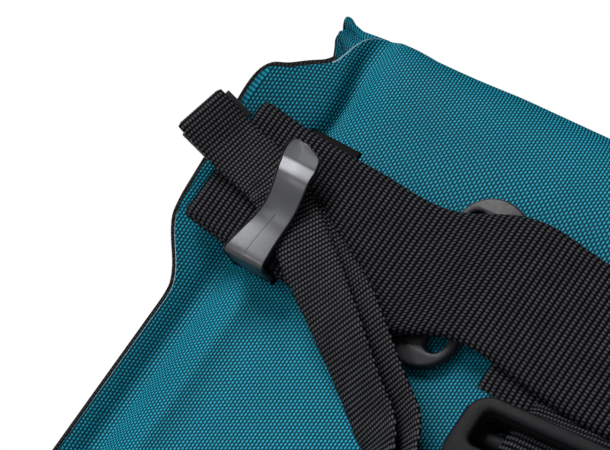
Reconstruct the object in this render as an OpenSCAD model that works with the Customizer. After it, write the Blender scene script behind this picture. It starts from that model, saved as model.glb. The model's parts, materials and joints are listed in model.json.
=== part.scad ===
// Welded roll-top pannier bag. +Z is up, -Y is the outer front, +Y is the rack side.
// The origin is the middle of the flat underside of the base boot.
// Depths are measured forward from the back sheet's front face, and offsets behind it from its rear face.

/* [Body] */
// Width between the two side welds
body_w = 240; // [220:2:280]
// Height of the closed bag
bag_h = 300; // [290:2:340]
// Thickness of the welded double edge
sheet_t = 1.6; // [1.2:0.1:2]
// Thickness of the front sheet
skin_t = 1; // [0.8:0.1:1.2]
// Forward slope of the front sheet beside the welds
front_slope = 0.577; // [0.5:0.01:0.62]
// Extra depth gained in the tight curve at each weld
edge_lift = 3; // [2:0.5:4]
// Growth of the depth for each millimetre down the bag
depth_taper = 0.0022; // [0.0018:0.0001:0.0024]

/* [Flange and tabs] */
// Width of the flat flange outside the weld
flange_w = 6.7; // [5:0.1:8]
// Width of the strap tab outside the weld
tab_w = 14.5; // [13:0.5:16]
// Outward lean of the tab from its foot to its top
tab_lean = 2.4; // [1:0.1:3]

/* [Base boot] */
// Height of the base boot
boot_h = 22; // [18:1:26]
// Wall of the base boot
boot_t = 1.8; // [1.5:0.1:2.4]

/* [Webbing] */
// Width of the wide webbing
web_w = 25; // [25:1:25]
// Thickness of the wide webbing
web_t = 1.4; // [1.2:0.1:1.5]
// Width of the narrow strap
tape_w = 10; // [8:1:10]
// Thickness of the folded narrow strap
tape_t = 2; // [1.6:0.1:2]
// Place of each closure strap, measured in from the weld
strap_in = 65; // [62:1:68]

/* [Rack hooks] */
// Radius of the rack tube in the hook inserts
tube_r = 6; // [5:0.5:6]
// Distance of each hook from the middle
hook_x = 74; // [70:1:78]
// Width of a hook along the rail
hook_w = 22; // [20:1:24]
// Length of the upper rail
rail_len = 206; // [200:2:210]
// Length of the lower rail
low_rail_len = 130; // [120:2:140]

/* [Hidden] */

TEAL = [0.07, 0.42, 0.50];
BLACK = [0.09, 0.09, 0.10];
GREY = [0.35, 0.36, 0.38];
STEEL = [0.75, 0.76, 0.78];

fine = 48;
gap = 0.3;
half_w = body_w / 2;
belt_z = bag_h - 35;
shoulder_z = bag_h - 16;
base_scale_z = boot_h + 2;

// Depth of the front sheet: 's' runs inward from the weld, 'z' is the height.
function taper(z) = 1 + depth_taper * (belt_z - max(z, base_scale_z));
function bulge(s) = front_slope * s + edge_lift * (1 - exp(-s / 3.2))
    - front_slope / half_w * pow(max(0, s - half_w / 2), 2);
function depth(s, z) = bulge(max(0, s)) * taper(z);
function slope_at(s, z) = taper(z) * (front_slope + edge_lift / 3.2 * exp(-s / 3.2)
    - 2 * front_slope / half_w * max(0, s - half_w / 2));

// The back sheet stands behind the origin, so that the boot is centred on it.
boot_out = skin_t + 0.2 + boot_t;
body_d = depth(half_w, 0) + boot_out;
back_y = (body_d - sheet_t - boot_t) / 2;
rear_y = back_y + sheet_t;

// The roll: its centre line bows forward in the middle of the bag.
roll_z = bag_h - 11;
roll_rz = 9.5;
roll_ry = 6.8;
roll_over = 9;
back_top = roll_z - roll_rz - 0.4;
function roll_depth(s) = 0.72 * depth(s, shoulder_z) - 9;

// ---------- shared shapes ----------

// Extrude a (y, z) outline along X, centred on 'x'.
module along_x(x, width)
    translate([x - width / 2, 0, 0]) rotate([90, 0, 90]) linear_extrude(width) children();

// Extrude an (x, z) outline toward the front, from 'y' to y - 'thick'.
module along_y(y, thick)
    translate([0, y, 0]) rotate([90, 0, 0]) linear_extrude(thick) children();

// A round solid along Y, from 'y' to y - 'len'.
module rod_y(x, y, z, r, len)
    translate([x, y, z]) rotate([90, 0, 0]) cylinder(r = r, h = len, $fn = fine);

module on_right(side)
    if (side > 0) mirror([1, 0, 0]) children(); else children();

// Put a flat piece on the left half of the front sheet: its X runs inward, its Y up and its Z outward.
module on_front(s, z, lift)
    translate([s - half_w, back_y - depth(s, z) - skin_t, z])
        rotate([0, 0, -atan(slope_at(s, z))]) translate([0, -lift, 0]) rotate([90, 0, 0]) children();

// Outline of a ribbon of thickness 't' about a path of 2D points.
function unit(v) = v / norm(v);
function path_dir(path, i) = unit(path[min(i + 1, len(path) - 1)] - path[max(i - 1, 0)]);
function ribbon(path, t) = concat(
    [for (i = [0:len(path) - 1]) let (d = path_dir(path, i)) path[i] + [-d[1], d[0]] * t / 2],
    [for (i = [len(path) - 1:-1:0]) let (d = path_dir(path, i)) path[i] - [-d[1], d[0]] * t / 2]
);

// Triangles of a swept solid whose rings all have 'm' points.
function sweep_faces(n, m) = concat(
    [for (i = [0:n - 2]) for (j = [0:m - 1]) [i * m + j, (i + 1) * m + j, i * m + (j + 1) % m]],
    [for (i = [0:n - 2]) for (j = [0:m - 1])
        [(i + 1) * m + j, (i + 1) * m + (j + 1) % m, i * m + (j + 1) % m]],
    [[for (j = [0:m - 1]) j]],
    [[for (j = [m - 1:-1:0]) (n - 1) * m + j]]
);

module sweep(rings)
    polyhedron(points = [for (r = rings) for (p = r) p],
               faces = sweep_faces(len(rings), len(rings[0])));

// Triangles of a thin sheet: an outer grid of points, then the matching inner grid.
function split(a, b, c, d) = [[a, b, c], [a, c, d]];
function sheet_faces(nr, nc) = let (q = nr * nc, t = nr - 1, e = nc - 1) [
    for (r = [0:nr - 2]) for (c = [0:nc - 2]) let (a = r * nc + c)
        each split(a, a + nc, a + nc + 1, a + 1),
    for (r = [0:nr - 2]) for (c = [0:nc - 2]) let (a = q + r * nc + c)
        each split(a, a + 1, a + nc + 1, a + nc),
    for (c = [0:nc - 2]) each split(c, c + 1, q + c + 1, q + c),
    for (c = [0:nc - 2]) let (a = t * nc + c) each split(a + 1, a, q + a, q + a + 1),
    for (r = [0:nr - 2]) let (a = r * nc) each split(a + nc, a, q + a, q + a + nc),
    for (r = [0:nr - 2]) let (a = r * nc + e) each split(a, a + nc, q + a + nc, q + a)
];

module sheet(outer, inner)
    polyhedron(points = concat([for (r = outer) for (p = r) p], [for (r = inner) for (p = r) p]),
               faces = sheet_faces(len(outer), len(outer[0])));

// ---------- fabric body ----------

// Left edge of the back sheet from the bottom up, as [outward distance from the weld, height].
function ease(t) = t * t * (3 - 2 * t);
tab_foot = belt_z - 24;
tab_top = belt_z + 16;
edge_steps = 10;
edge_path = concat(
    [[0, boot_h + gap], [flange_w - 4, boot_h + gap]],
    [for (a = [60:-30:0]) [flange_w - 4 + 4 * cos(a), boot_h + 5 - 4 * sin(a)]],
    [for (i = [0:edge_steps]) let (t = i / edge_steps)
        [flange_w + (tab_w - flange_w) * ease(t), tab_foot + 11 * t]],
    [for (a = [0:30:90]) [tab_w + tab_lean - 4 + 4 * cos(a), tab_top - 2 + 4 * sin(a)]],
    [[flange_w - 0.5, belt_z + 24], [0, shoulder_z + 5]]
);

module back_outline()
    polygon(concat(
        [for (p = edge_path) [-half_w - p[0], p[1]]],
        [[-half_w, back_top], [half_w, back_top]],
        [for (i = [len(edge_path) - 1:-1:0]) [half_w + edge_path[i][0], edge_path[i][1]]],
        [[half_w, boot_t + gap], [-half_w, boot_t + gap]]
    ));

rail_z = belt_z - 1;
low_rail_z = 95;
screw_xs = [-94, 0, 94];
low_screw_xs = [-56, 56];
rivet_xs = [-90, 90];
rivet_z = 13;
screw_r = 2;

module screw_holes(y, len, r) {
    for (x = screw_xs) rod_y(x, y, rail_z, r, len);
    for (x = low_screw_xs) rod_y(x, y, low_rail_z, r, len);
    for (x = rivet_xs) rod_y(x, y, rivet_z, r, len);
}

module back_sheet() color(BLACK) difference() {
    along_y(rear_y, sheet_t) back_outline();
    screw_holes(rear_y + 1, sheet_t + 2, screw_r + 0.2);
}

grid_n = 14;
grid_s = [for (i = [0:grid_n]) half_w * pow(i / grid_n, 1.6)];
grid_x = concat([for (s = grid_s) s - half_w], [for (i = [grid_n - 1:-1:0]) half_w - grid_s[i]]);
body_rows = 6;
crown_rows = 6;

// One row of points at the height 'z', 'inset' behind the outside.
function body_row(z, inset) =
    [for (x = grid_x) [x, back_y - skin_t + inset - depth(half_w - abs(x), z), z]];

// One row of points on the rounded crown, at the angle 'a' above the shoulder.
function crown_row(a, inset) = let (c = pow(cos(a), 0.8), u = pow(sin(a), 0.8)) [
    for (x = grid_x) let (s = half_w - abs(x), e = roll_depth(s), d = depth(s, shoulder_z) + skin_t - inset)
        [x, back_y - e - (d - e) * c, shoulder_z + (bag_h - shoulder_z - inset) * u]
];

function front_rows(inset) = concat(
    [body_row(boot_t + gap, inset)],
    [for (i = [0:body_rows]) body_row(base_scale_z + (shoulder_z - base_scale_z) * i / body_rows, inset)],
    [for (i = [1:crown_rows]) crown_row(90 * i / crown_rows, inset)]
);

module front_shell() color(TEAL) sheet(front_rows(0), front_rows(skin_t));

// The unstiffened top of the back, which leans forward to the roll.
collar_rows = 3;
function collar_e(x) = roll_depth(half_w - abs(x)) - roll_ry - gap - skin_t;
collar_x = [for (x = grid_x) if (collar_e(x) > 0) x];
function collar_row(t, inset) = [
    for (x = collar_x) [x, back_y - collar_e(x) * t - inset, back_top + gap + 6 * t]
];
module back_collar() color(TEAL)
    sheet([for (i = [0:collar_rows]) collar_row(i / collar_rows, skin_t)],
          [for (i = [0:collar_rows]) collar_row(i / collar_rows, 0)]);

// Rings of the roll: 'grow' scales the section, 'reach' is the half length.
ring_n = 20;
roll_stations = 30;
function roll_ring(x, ry, rz, angle0, count) = let (
        s = half_w - abs(x), thin = s < 0 ? 1 + 0.05 * s : 1, e = roll_depth(s))
    [for (j = [0:count - 1]) let (a = angle0 + 360 * j / count)
        [x, back_y - e + ry * thin * cos(a), roll_z + rz * thin * sin(a)]];
function roll_xs(reach) = [for (i = [0:roll_stations]) reach * (2 * i / roll_stations - 1)];

module strip_shape(reach, ry, rz)
    sweep([for (x = roll_xs(reach)) roll_ring(x, ry, rz, 45, 4)]);

module roll_top() color(TEAL) difference() {
    sweep([for (x = roll_xs(half_w + roll_over)) roll_ring(x, roll_ry, roll_rz, 0, ring_n)]);
    strip_shape(half_w - 7, 1.6, 6.6);
}

module roll_strip() color(BLACK) strip_shape(half_w - 8, 1.4, 6.4);

// ---------- base boot and board ----------

function boot_edge(out) = concat(
    [for (x = grid_x) let (s = half_w - abs(x)) [x + sign(x) * out, back_y - depth(s, 0) - out]],
    [[half_w + out, rear_y + out - skin_t - 0.2 + gap], [-half_w - out, rear_y + out - skin_t - 0.2 + gap]]
);
boot_in = skin_t + 0.2;

module base_boot() color(BLACK) difference() {
    linear_extrude(boot_h) polygon(boot_edge(boot_in + boot_t));
    translate([0, 0, boot_t]) linear_extrude(boot_h) polygon(boot_edge(boot_in));
    for (x = rivet_xs) rod_y(x, rear_y + 6, rivet_z, screw_r + 0.05, 10);
}

boot_rear = boot_edge(boot_in + boot_t)[len(grid_x)][1];
module boot_rivets() color(STEEL) for (x = rivet_xs) {
    rod_y(x, boot_rear + 1.4, rivet_z, 4, 1.35);
    rod_y(x, boot_rear + 0.2, rivet_z, screw_r, boot_rear + 0.2 - back_y + 3.2);
    rod_y(x, back_y - 2.3, rivet_z, 3.6, 1);
}

board_w = 196;
board_top = shoulder_z - 8;
module stiffener_board() color(GREY) difference() {
    along_y(back_y - 0.2, 2) polygon([
        [-board_w / 2, boot_t + 1], [board_w / 2, boot_t + 1],
        [board_w / 2, board_top - 12], [board_w / 2 - 12, board_top],
        [12 - board_w / 2, board_top], [-board_w / 2, board_top - 12]
    ]);
    screw_holes(back_y + 1, 5, screw_r + 0.2);
}

// ---------- upper rail and its fasteners ----------

rail_half = 8;
slot_half = 6.2;
mouth_half = 3.6;
rail_base = 2.5;
rail_d = 6.5;

module rail_profile() translate([rear_y, 0]) difference() {
    translate([0, -rail_half]) square([rail_d, 2 * rail_half]);
    translate([rail_base, -slot_half]) square([2.5, 2 * slot_half]);
    translate([rail_base, -mouth_half]) square([rail_d, 2 * mouth_half]);
}

module rail(z, length, xs) difference() {
    translate([0, 0, z]) along_x(0, length) rail_profile();
    for (x = xs) rod_y(x, rear_y + rail_base + 0.5, z, screw_r + 0.03, rail_base + 1);
}

module hook_rail() color(GREY) rail(rail_z, rail_len, screw_xs);

module rail_end_caps() color(BLACK) for (side = [-1, 1])
    translate([0, 0, rail_z]) along_x(side * (rail_len / 2 + 1.6), 3) difference() {
        translate([rear_y, -rail_half - 0.8]) square([rail_d + 0.8, 2 * rail_half + 1.6]);
        translate([rear_y + rail_d - 0.6, -mouth_half]) square([3, 2 * mouth_half]);
    }

washer_e = 2.25;
module pan_screws(xs, z) for (x = xs) {
    rod_y(x, back_y - washer_e - 0.85, z, 4, 2.2);
    rod_y(x, rear_y + rail_base - 0.1, z, screw_r, sheet_t + rail_base + washer_e + 1);
}

module rail_screws() color(STEEL) pan_screws(screw_xs, rail_z);

module rail_washers() color(STEEL) for (p = concat(
        [for (x = screw_xs) [x, rail_z]], [for (x = low_screw_xs) [x, low_rail_z]]))
    difference() {
        rod_y(p[0], back_y - washer_e, p[1], 5, 0.8);
        rod_y(p[0], back_y, p[1], screw_r + 0.15, 5);
    }

module lower_rail() color(GREY) rail(low_rail_z, low_rail_len, low_screw_xs);

module lower_rail_screws() color(STEEL) pan_screws(low_screw_xs, low_rail_z);

// ---------- rack hooks ----------

tube_y = rear_y + 10.8 + tube_r + 2;
tube_z = belt_z - 3;
seat_r = tube_r + 2.1;
pin_y = rear_y + 14.4;
pin_z = tube_z - 14.2;
pin_r = 1.5;

module hook_profile() {
    translate([rear_y + 2.8, rail_z - 5.9]) square([1.9, 11.8]);
    translate([rear_y + 4.6, rail_z - 3.3]) square([2.3, 6.6]);
    difference() {
        union() {
            translate([rear_y + 6.8, pin_z - 4]) square([4, tube_z + 8 - pin_z + 4]);
            translate([tube_y, tube_z]) circle(r = seat_r + 3.5, $fn = fine);
        }
        translate([tube_y, tube_z]) circle(r = seat_r, $fn = fine);
        translate([rear_y + 10.8, tube_z - 20]) square([tube_y + seat_r - rear_y - 10.8, 20]);
        translate([rear_y + 10.8, tube_z - 27]) square([30, 20]);
        translate([rear_y + 4, tube_z - 30]) square([2.8, 60]);
    }
}

module hook(side) difference() {
    union() {
        along_x(side * hook_x, hook_w) hook_profile();
        for (end = [-1, 1]) along_x(side * hook_x + end * (hook_w / 2 - 1.75), 3.5) {
            translate([pin_y, pin_z]) circle(r = 3.6, $fn = fine);
            translate([rear_y + 10.5, pin_z - 3.6]) square([pin_y - rear_y - 10.5, 7.2]);
        }
    }
    translate([side * hook_x - hook_w, pin_y, pin_z]) rotate([0, 90, 0])
        cylinder(r = pin_r + 0.02, h = 2 * hook_w, $fn = fine);
}

module hook_insert(side) along_x(side * hook_x, hook_w) difference() {
    translate([tube_y, tube_z]) circle(r = tube_r + 2, $fn = fine);
    translate([tube_y, tube_z]) circle(r = tube_r, $fn = fine);
    translate([tube_y - 20, tube_z - 40]) square([40, 39.5]);
}

module latch_pin(side) translate([side * hook_x - hook_w / 2, pin_y, pin_z]) rotate([0, 90, 0])
    cylinder(r = pin_r, h = hook_w, $fn = fine);

module latch(side) along_x(side * hook_x, hook_w - 7.6) difference() {
    union() {
        translate([pin_y, pin_z]) circle(r = 3.3, $fn = fine);
        polygon([
            [pin_y - 2.8, pin_z + 1], [pin_y + 2.6, pin_z - 1.6], [tube_y + seat_r - 0.8, tube_z - 10],
            [tube_y + seat_r - 0.8, tube_z - tube_r - 0.8], [pin_y - 1, tube_z - tube_r - 0.8]
        ]);
    }
    translate([pin_y, pin_z]) circle(r = pin_r + 0.06, $fn = fine);
}

// The handle webbing arches between the hooks, with its flat face up.
handle_half = 60;
handle_rise = 15;
handle_w = 18;
handle_top = bag_h - 4;
function handle_arc(reach) = [for (i = [-12:12]) let (x = reach * i / 12)
    [x, handle_top - handle_rise * pow(x / handle_half, 2)]];
handle_foot = handle_top - handle_rise - 4;

module pull_handle() color(BLACK) along_y(rear_y + 9 + handle_w, handle_w)
    polygon(ribbon(concat(
        [[-handle_half - 0.8, handle_foot], [-handle_half - 0.8, handle_foot + 2.5]],
        handle_arc(handle_half),
        [[handle_half + 0.8, handle_foot + 2.5], [handle_half + 0.8, handle_foot]]
    ), web_t));

module handle_grip() color(BLACK) along_y(rear_y + 11 + handle_w, handle_w + 4) difference() {
    polygon(ribbon(handle_arc(30), 5));
    polygon(ribbon(handle_arc(31), web_t + 0.1));
}

// ---------- lower hook ----------

low_y = rear_y + 6.8;
saddle_x = -28;
saddle_r = 6;
saddle_y = low_y + 3.2 + 9.4;

module lower_carriage() color(BLACK) difference() {
    union() {
        translate([0, 0, low_rail_z]) along_x(0, 20) {
            translate([rear_y + 2.8, -5.9]) square([1.9, 11.8]);
            translate([rear_y + 4.6, -3.3]) square([2.3, 6.6]);
        }
        rod_y(0, low_y + 3, low_rail_z, 12, 3);
        rod_y(0, low_y + 7, low_rail_z, 3.5, 4.5);
    }
    rod_y(0, low_y + 8, low_rail_z, 1.52, 10);
}

module lower_hook() color(BLACK) difference() {
    union() {
        rod_y(0, low_y + 6.8, low_rail_z, 11, 3.6);
        translate([saddle_x, low_y + 3.2, low_rail_z - 6]) cube([-saddle_x, 3.6, 12]);
        translate([saddle_x, saddle_y, low_rail_z - 6]) cylinder(r = 9.4, h = 12, $fn = fine);
    }
    translate([saddle_x, saddle_y, low_rail_z - 15]) cylinder(r = saddle_r, h = 30, $fn = fine);
    translate([saddle_x - 20, low_y + 6.8, low_rail_z - 15]) cube([19, 30, 30]);
    rod_y(0, low_y + 8, low_rail_z, 3.56, 6);
}

module lower_hook_screw() color(STEEL) {
    rod_y(0, low_y + 9.4, low_rail_z, 5.5, 2.3);
    rod_y(0, low_y + 7.5, low_rail_z, 1.5, 6.5);
}

// ---------- front belts ----------

// Depth of the outside of the front sheet at the belt.
function belt_surf(s) = depth(s, belt_z - web_w / 2 - 2) + skin_t;
belt_lift = 4.5;
fold_s = -11;
fold_e = 3.6;
land_s = 24;
land_e = belt_surf(land_s) + belt_lift;
belt_rise = (land_e - fold_e) / (land_s - fold_s);
belt_lean = atan(belt_rise);
tail_s = 15;
tail_drop = web_t + 0.4;

function main_e(s) = s < land_s ? fold_e + belt_rise * (s - fold_s) : belt_surf(s) + belt_lift;
// A point beside the straight end of the belt, 'n' in front of the middle of the webbing.
function beside(s, n) = [s, main_e(s)] + n * [-sin(belt_lean), cos(belt_lean)];
main_steps = 12;
function half_belt() = concat(
    [beside(tail_s, -tail_drop), beside(fold_s + 1, -tail_drop)],
    [for (a = [240:-30:120]) beside(fold_s, -tail_drop / 2)
        + tail_drop / 2 * [cos(a + belt_lean), sin(a + belt_lean)]],
    [[fold_s + 1, main_e(fold_s + 1)]],
    [for (i = [0:main_steps]) let (s = land_s + (half_w - land_s) * i / main_steps) [s, main_e(s)]]
);
function mirrored(path) = concat(
    [for (p = path) [p[0] - half_w, back_y - p[1]]],
    [for (i = [len(path) - 2:-1:0]) [half_w - path[i][0], back_y - path[i][1]]]
);

module front_belt() color(BLACK) translate([0, 0, belt_z - web_w / 2])
    linear_extrude(web_w) polygon(ribbon(mirrored(half_belt()), web_t));

inner_s = 45;
inner_lift = 2.7;
function half_inner() = [for (i = [0:8]) let (s = inner_s + (half_w - inner_s) * i / 8)
    [s, belt_surf(s) + inner_lift]];
module inner_belt() color(BLACK) translate([0, 0, belt_z - web_w / 2 - 2])
    linear_extrude(web_w) polygon(ribbon(mirrored(half_inner()), web_t - 0.1));

// Oval slotted plate under the belt. It lies on the sloping front sheet.
plate_s = 33;
plate_len = 32;
plate_w = 18;
plate_t = 2;
plate_rivet_z = 14;
module on_plate() on_front(plate_s, belt_z, 0.9) children();

module belt_plate(side) on_right(side) on_plate() difference() {
    linear_extrude(plate_t) intersection() {
        circle(r = plate_len / 2, $fn = 96);
        square([plate_w, plate_len], center = true);
    }
    for (x = [-4.6, 4.6]) translate([x, 0, -1]) linear_extrude(plate_t + 2) square([4.2, 24], center = true);
    for (z = [-1, 1]) translate([0, plate_rivet_z * z, -1]) cylinder(r = 0.85, h = plate_t + 2, $fn = fine);
}

module plate_rivets() color(STEEL) for (side = [-1, 1]) on_right(side) on_plate() for (z = [-1, 1]) {
    translate([0, plate_rivet_z * z, 0]) cylinder(r = 0.8, h = plate_t + 0.1, $fn = fine);
    translate([0, plate_rivet_z * z, plate_t + 0.05]) cylinder(r = 1.5, h = 0.5, $fn = fine);
}

// Sprung clip around the belt: a back plate, a bend under the lower edge and an arched front arm.
clip_s = 1.7;
clip_w = 8;
clip_t = 0.9;
clip_back = tail_drop + web_t / 2 + gap;
clip_front = web_t / 2 + gap + tape_t + gap;
clip_low = belt_z - web_w / 2 - 1.6;

module clip(side) on_right(side)
    translate([clip_s - half_w, back_y - main_e(clip_s), 0]) rotate([0, 0, -belt_lean]) {
        along_x(0, clip_w) polygon(ribbon([
            [clip_back + clip_t / 2, belt_z + web_w / 2 + 1.2], [clip_back + clip_t / 2, clip_low + 1.2],
            [clip_back - 0.8, clip_low], [-clip_front + 0.8, clip_low],
            [-clip_front - clip_t / 2, clip_low + 1.2], [-clip_front - 1.6, belt_z - 3],
            [-clip_front - clip_t / 2, belt_z + 6], [-clip_front - 1.4, belt_z + 9.5]
        ], clip_t));
        translate([-5, clip_back, belt_z + web_w / 2 + 0.3]) cube([10, 1.2, 2.2]);
    }

// Narrow strap: from its folded end over the belt, under the clip and down the front to its anchor.
// Points are [distance in from the weld, height above the belt's middle].
tape_start = [-20.6, 4.6];
tape_bend = [3, -0.2];
tape_fall = 38;
tape_turn_r = 14;
tape_in = 39.5;
tape_low = -66;
arc_start = [tape_in - tape_turn_r * (1 - sin(tape_fall)), 0];
arc_z = tape_bend[1] - (arc_start[0] - tape_bend[0]) * tan(tape_fall);
function mix(a, b, t) = a + (b - a) * t;
tape_route = concat(
    [for (i = [0:3]) mix(tape_start, tape_bend, i / 3)],
    [for (i = [1:6]) mix(tape_bend, [arc_start[0], arc_z], i / 6)],
    [for (a = [50:13:89]) [tape_in - tape_turn_r * (1 - sin(a)), arc_z - tape_turn_r * (cos(tape_fall) - cos(a))]],
    [for (i = [0:4]) mix([tape_in, arc_z - tape_turn_r * cos(tape_fall) - 2], [tape_in, tape_low], i / 4)]
);
// Depth of the middle of the strap: on the belt at first, then settling onto the front sheet.
function tape_on_belt(s) = max(5.6, main_e(s) + (web_t / 2 + gap + tape_t / 2) / cos(belt_lean));
function tape_on_bag(s, dz) = depth(s + 2, belt_z + dz - 6) + skin_t + 0.6 + tape_t / 2;
function tape_e(p) = p[1] > -web_w / 2 - 6 ? tape_on_belt(p[0])
    : max(tape_on_bag(p[0], p[1]), tape_on_belt(p[0]) + 0.35 * (p[1] + web_w / 2 + 6));
function tape_point(p) = [p[0] - half_w, back_y - tape_e(p), belt_z + p[1]];
function tape_ring(i) = let (
        p = tape_point(tape_route[i]),
        n = len(tape_route) - 1,
        d = unit(tape_point(tape_route[min(i + 1, n)]) - tape_point(tape_route[max(i - 1, 0)])),
        w = unit(cross([-sin(belt_lean), -cos(belt_lean), 0], d)) * tape_w / 2,
        h = unit(cross(d, w)) * tape_t / 2)
    [p + w + h, p + w - h, p - w - h, p - w + h];

module narrow_strap(side) on_right(side) sweep([for (i = [0:len(tape_route) - 1]) tape_ring(i)]);

// Small slotted plate behind the folded end of the narrow strap.
module strap_end(side) on_right(side)
    translate([-16.4 - half_w, back_y - 5.6 + tape_t / 2 + 1.4, belt_z + 3.7]) rotate([0, 10, 0]) difference() {
        translate([-3, -0.9, -5.8]) cube([6, 0.9, 11.6]);
        translate([-1, -2, -4.6]) cube([2, 3, 9.2]);
    }

// The narrow strap's lower end is held under a bridge that is riveted to the front sheet.
anchor_z = belt_z + tape_low + 4;
bridge_d = 5.4;
module on_anchor() on_front(tape_in + 1.6, anchor_z, 0.5) children();

module strap_anchor() color(BLACK) for (side = [-1, 1]) on_right(side) on_anchor() difference() {
    translate([-10, -5, 0]) cube([20, 10, bridge_d]);
    translate([-5.6, -6, -1]) cube([11.2, 12, bridge_d - 0.2]);
    for (x = [-7.8, 7.8]) translate([x, 0, -1]) cylinder(r = 0.85, h = bridge_d + 2, $fn = fine);
}

module anchor_rivets() color(STEEL) for (side = [-1, 1]) on_right(side) on_anchor() for (x = [-7.8, 7.8]) {
    translate([x, 0, 0]) cylinder(r = 0.8, h = bridge_d, $fn = fine);
    translate([x, 0, bridge_d + 0.05]) cylinder(r = 1.5, h = 0.5, $fn = fine);
}

// ---------- closure straps and buckles ----------

strap_x = half_w - strap_in;
buckle_top = belt_z - web_w / 2 - 3;
socket_len = 30;
buckle_w = 40;
buckle_t = 8;
loop_z = boot_h + 8;
buckle_turn = 32;

// The buckle and the strap below it lie on one straight line down the front, at a constant width.
boot_face = depth(strap_in + boot_out, 0) + boot_out;
line_top = depth(strap_in, buckle_top) + skin_t + 3.2;
line_low = boot_face + 4.6;
line_fall = buckle_top - loop_z;
line_len = norm([line_low - line_top, line_fall]);
line_step = (line_low - line_top) / line_len;
line_lean = asin(line_step * cos(buckle_turn));
line_roll = -asin(line_step * sin(buckle_turn) / cos(line_lean));

module on_line(side) on_right(side) translate([-strap_x, back_y - line_top, buckle_top])
    rotate([-line_lean, line_roll, -buckle_turn]) children();

// The closure strap lies on the front sheet, goes over the roll and is sewn to the back sheet.
strap_cols = 4;
strap_rows = 3;
back_reach = 2;
function over_roll(s, off) = let (d = depth(s, shoulder_z) + skin_t + off, e = roll_depth(s)) concat(
    [for (i = [0:strap_rows]) let (z = mix(buckle_top + 0.8, shoulder_z, i / strap_rows))
        [depth(s, z) + skin_t + off, z]],
    [for (a = [15:15:90]) [e + (d - e) * pow(cos(a), 0.8), shoulder_z + (bag_h - shoulder_z + off) * pow(sin(a), 0.8)]],
    [[e - 5 - off * 0.3, bag_h - 3 + off], [e - 8.2 - off * 0.7, roll_z + 1 + off * 0.7],
     [-sheet_t - back_reach - off + 1.4, back_top + 2 + off], [-sheet_t - off, back_top - 1],
     [-sheet_t - off, rail_z + rail_half + 2]]
);
function strap_grid(off) = let (paths = [for (j = [0:strap_cols]) let (s = strap_in - web_w / 2 + web_w * j / strap_cols)
        [for (p = over_roll(s, off)) [s - half_w, back_y - p[0], p[1]]]])
    [for (r = [0:len(paths[0]) - 1]) [for (j = [0:strap_cols]) paths[j][r]]];
module closure_strap(side) on_right(side) sheet(strap_grid(0.3 + web_t), strap_grid(0.3));

module buckle_socket(side) on_line(side) difference() {
    translate([-buckle_w / 2, -buckle_t + 1, -socket_len]) cube([buckle_w, buckle_t, socket_len - 1]);
    translate([-16, -buckle_t + 2.8, -socket_len - 1]) cube([32, 4.4, 22]);
    translate([-web_w / 2 - 0.8, -buckle_t, -6]) cube([web_w + 1.6, buckle_t + 2, 2.6]);
    for (x = [-1, 1]) translate([x * 18.5 - 4, -buckle_t + 2.2, -24]) cube([8, 5.6, 12]);
}

plug_len = 18;
module buckle_plug(side) on_line(side) {
    difference() {
        translate([-15.5, -buckle_t + 1, -socket_len - plug_len]) cube([31, buckle_t - 1.2, plug_len - 0.4]);
        for (z = [-6, -13]) translate([-web_w / 2 - 0.8, -buckle_t, z - socket_len - 2.2])
            cube([web_w + 1.6, buckle_t + 2, 3.2]);
    }
    translate([-2, -buckle_t + 3.2, -socket_len - 0.5]) cube([4, 3.6, 16]);
    for (x = [-1, 1]) translate([x * 12.5 - 2, -buckle_t + 3.2, -socket_len - 0.5]) cube([4, 3.6, 19]);
}

strap_tail = 5;
module lower_strap(side) on_line(side)
    translate([-web_w / 2, 0, -line_len - strap_tail])
        cube([web_w, web_t, line_len + strap_tail - socket_len - 1]);

// A bridge on the boot guides each lower strap.
bridge_turn = atan(slope_at(strap_in, 0));
module strap_loops() color(BLACK) for (side = [-1, 1]) difference() {
    on_right(side) translate([-strap_x, back_y - boot_face, boot_h - 9]) rotate([0, 0, -bridge_turn])
        translate([-16.5, -8.4, 0]) cube([33, 8.1, loop_z - boot_h + 12]);
    on_line(side) translate([-web_w / 2 - 0.5, -0.4, -line_len - 40]) cube([web_w + 1, web_t + 0.8, 80]);
}

// ---------- assembly ----------

back_sheet();
front_shell();
back_collar();
roll_top();
roll_strip();
base_boot();
boot_rivets();
stiffener_board();
hook_rail();
rail_end_caps();
rail_screws();
rail_washers();
lower_rail();
lower_rail_screws();
front_belt();
inner_belt();
color(GREY) belt_plate(-1);  // belt_plate_left
color(GREY) belt_plate(1);  // belt_plate_right
plate_rivets();
color(BLACK) clip(-1);  // clip_left
color(BLACK) clip(1);  // clip_right
color(BLACK) narrow_strap(-1);  // narrow_strap_left
color(BLACK) narrow_strap(1);  // narrow_strap_right
color(GREY) strap_end(-1);  // strap_end_left
color(GREY) strap_end(1);  // strap_end_right
strap_anchor();
anchor_rivets();
color(BLACK) closure_strap(-1);  // closure_strap_left
color(BLACK) closure_strap(1);  // closure_strap_right
color(BLACK) buckle_socket(-1);  // buckle_socket_left
color(BLACK) buckle_socket(1);  // buckle_socket_right
color(BLACK) buckle_plug(-1);  // buckle_plug_left
color(BLACK) buckle_plug(1);  // buckle_plug_right
color(BLACK) lower_strap(-1);  // lower_strap_left
color(BLACK) lower_strap(1);  // lower_strap_right
strap_loops();
color(BLACK) hook(-1);  // hook_left
color(BLACK) hook(1);  // hook_right
color(GREY) hook_insert(-1);  // hook_insert_left
color(GREY) hook_insert(1);  // hook_insert_right
color(GREY) latch(-1);  // latch_left
color(GREY) latch(1);  // latch_right
color(STEEL) latch_pin(-1);  // latch_pin_left
color(STEEL) latch_pin(1);  // latch_pin_right
pull_handle();
handle_grip();
lower_carriage();
lower_hook();
lower_hook_screw();
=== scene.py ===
import json
from math import atan, cos, exp, hypot, pi, radians, sin, tan

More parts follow.
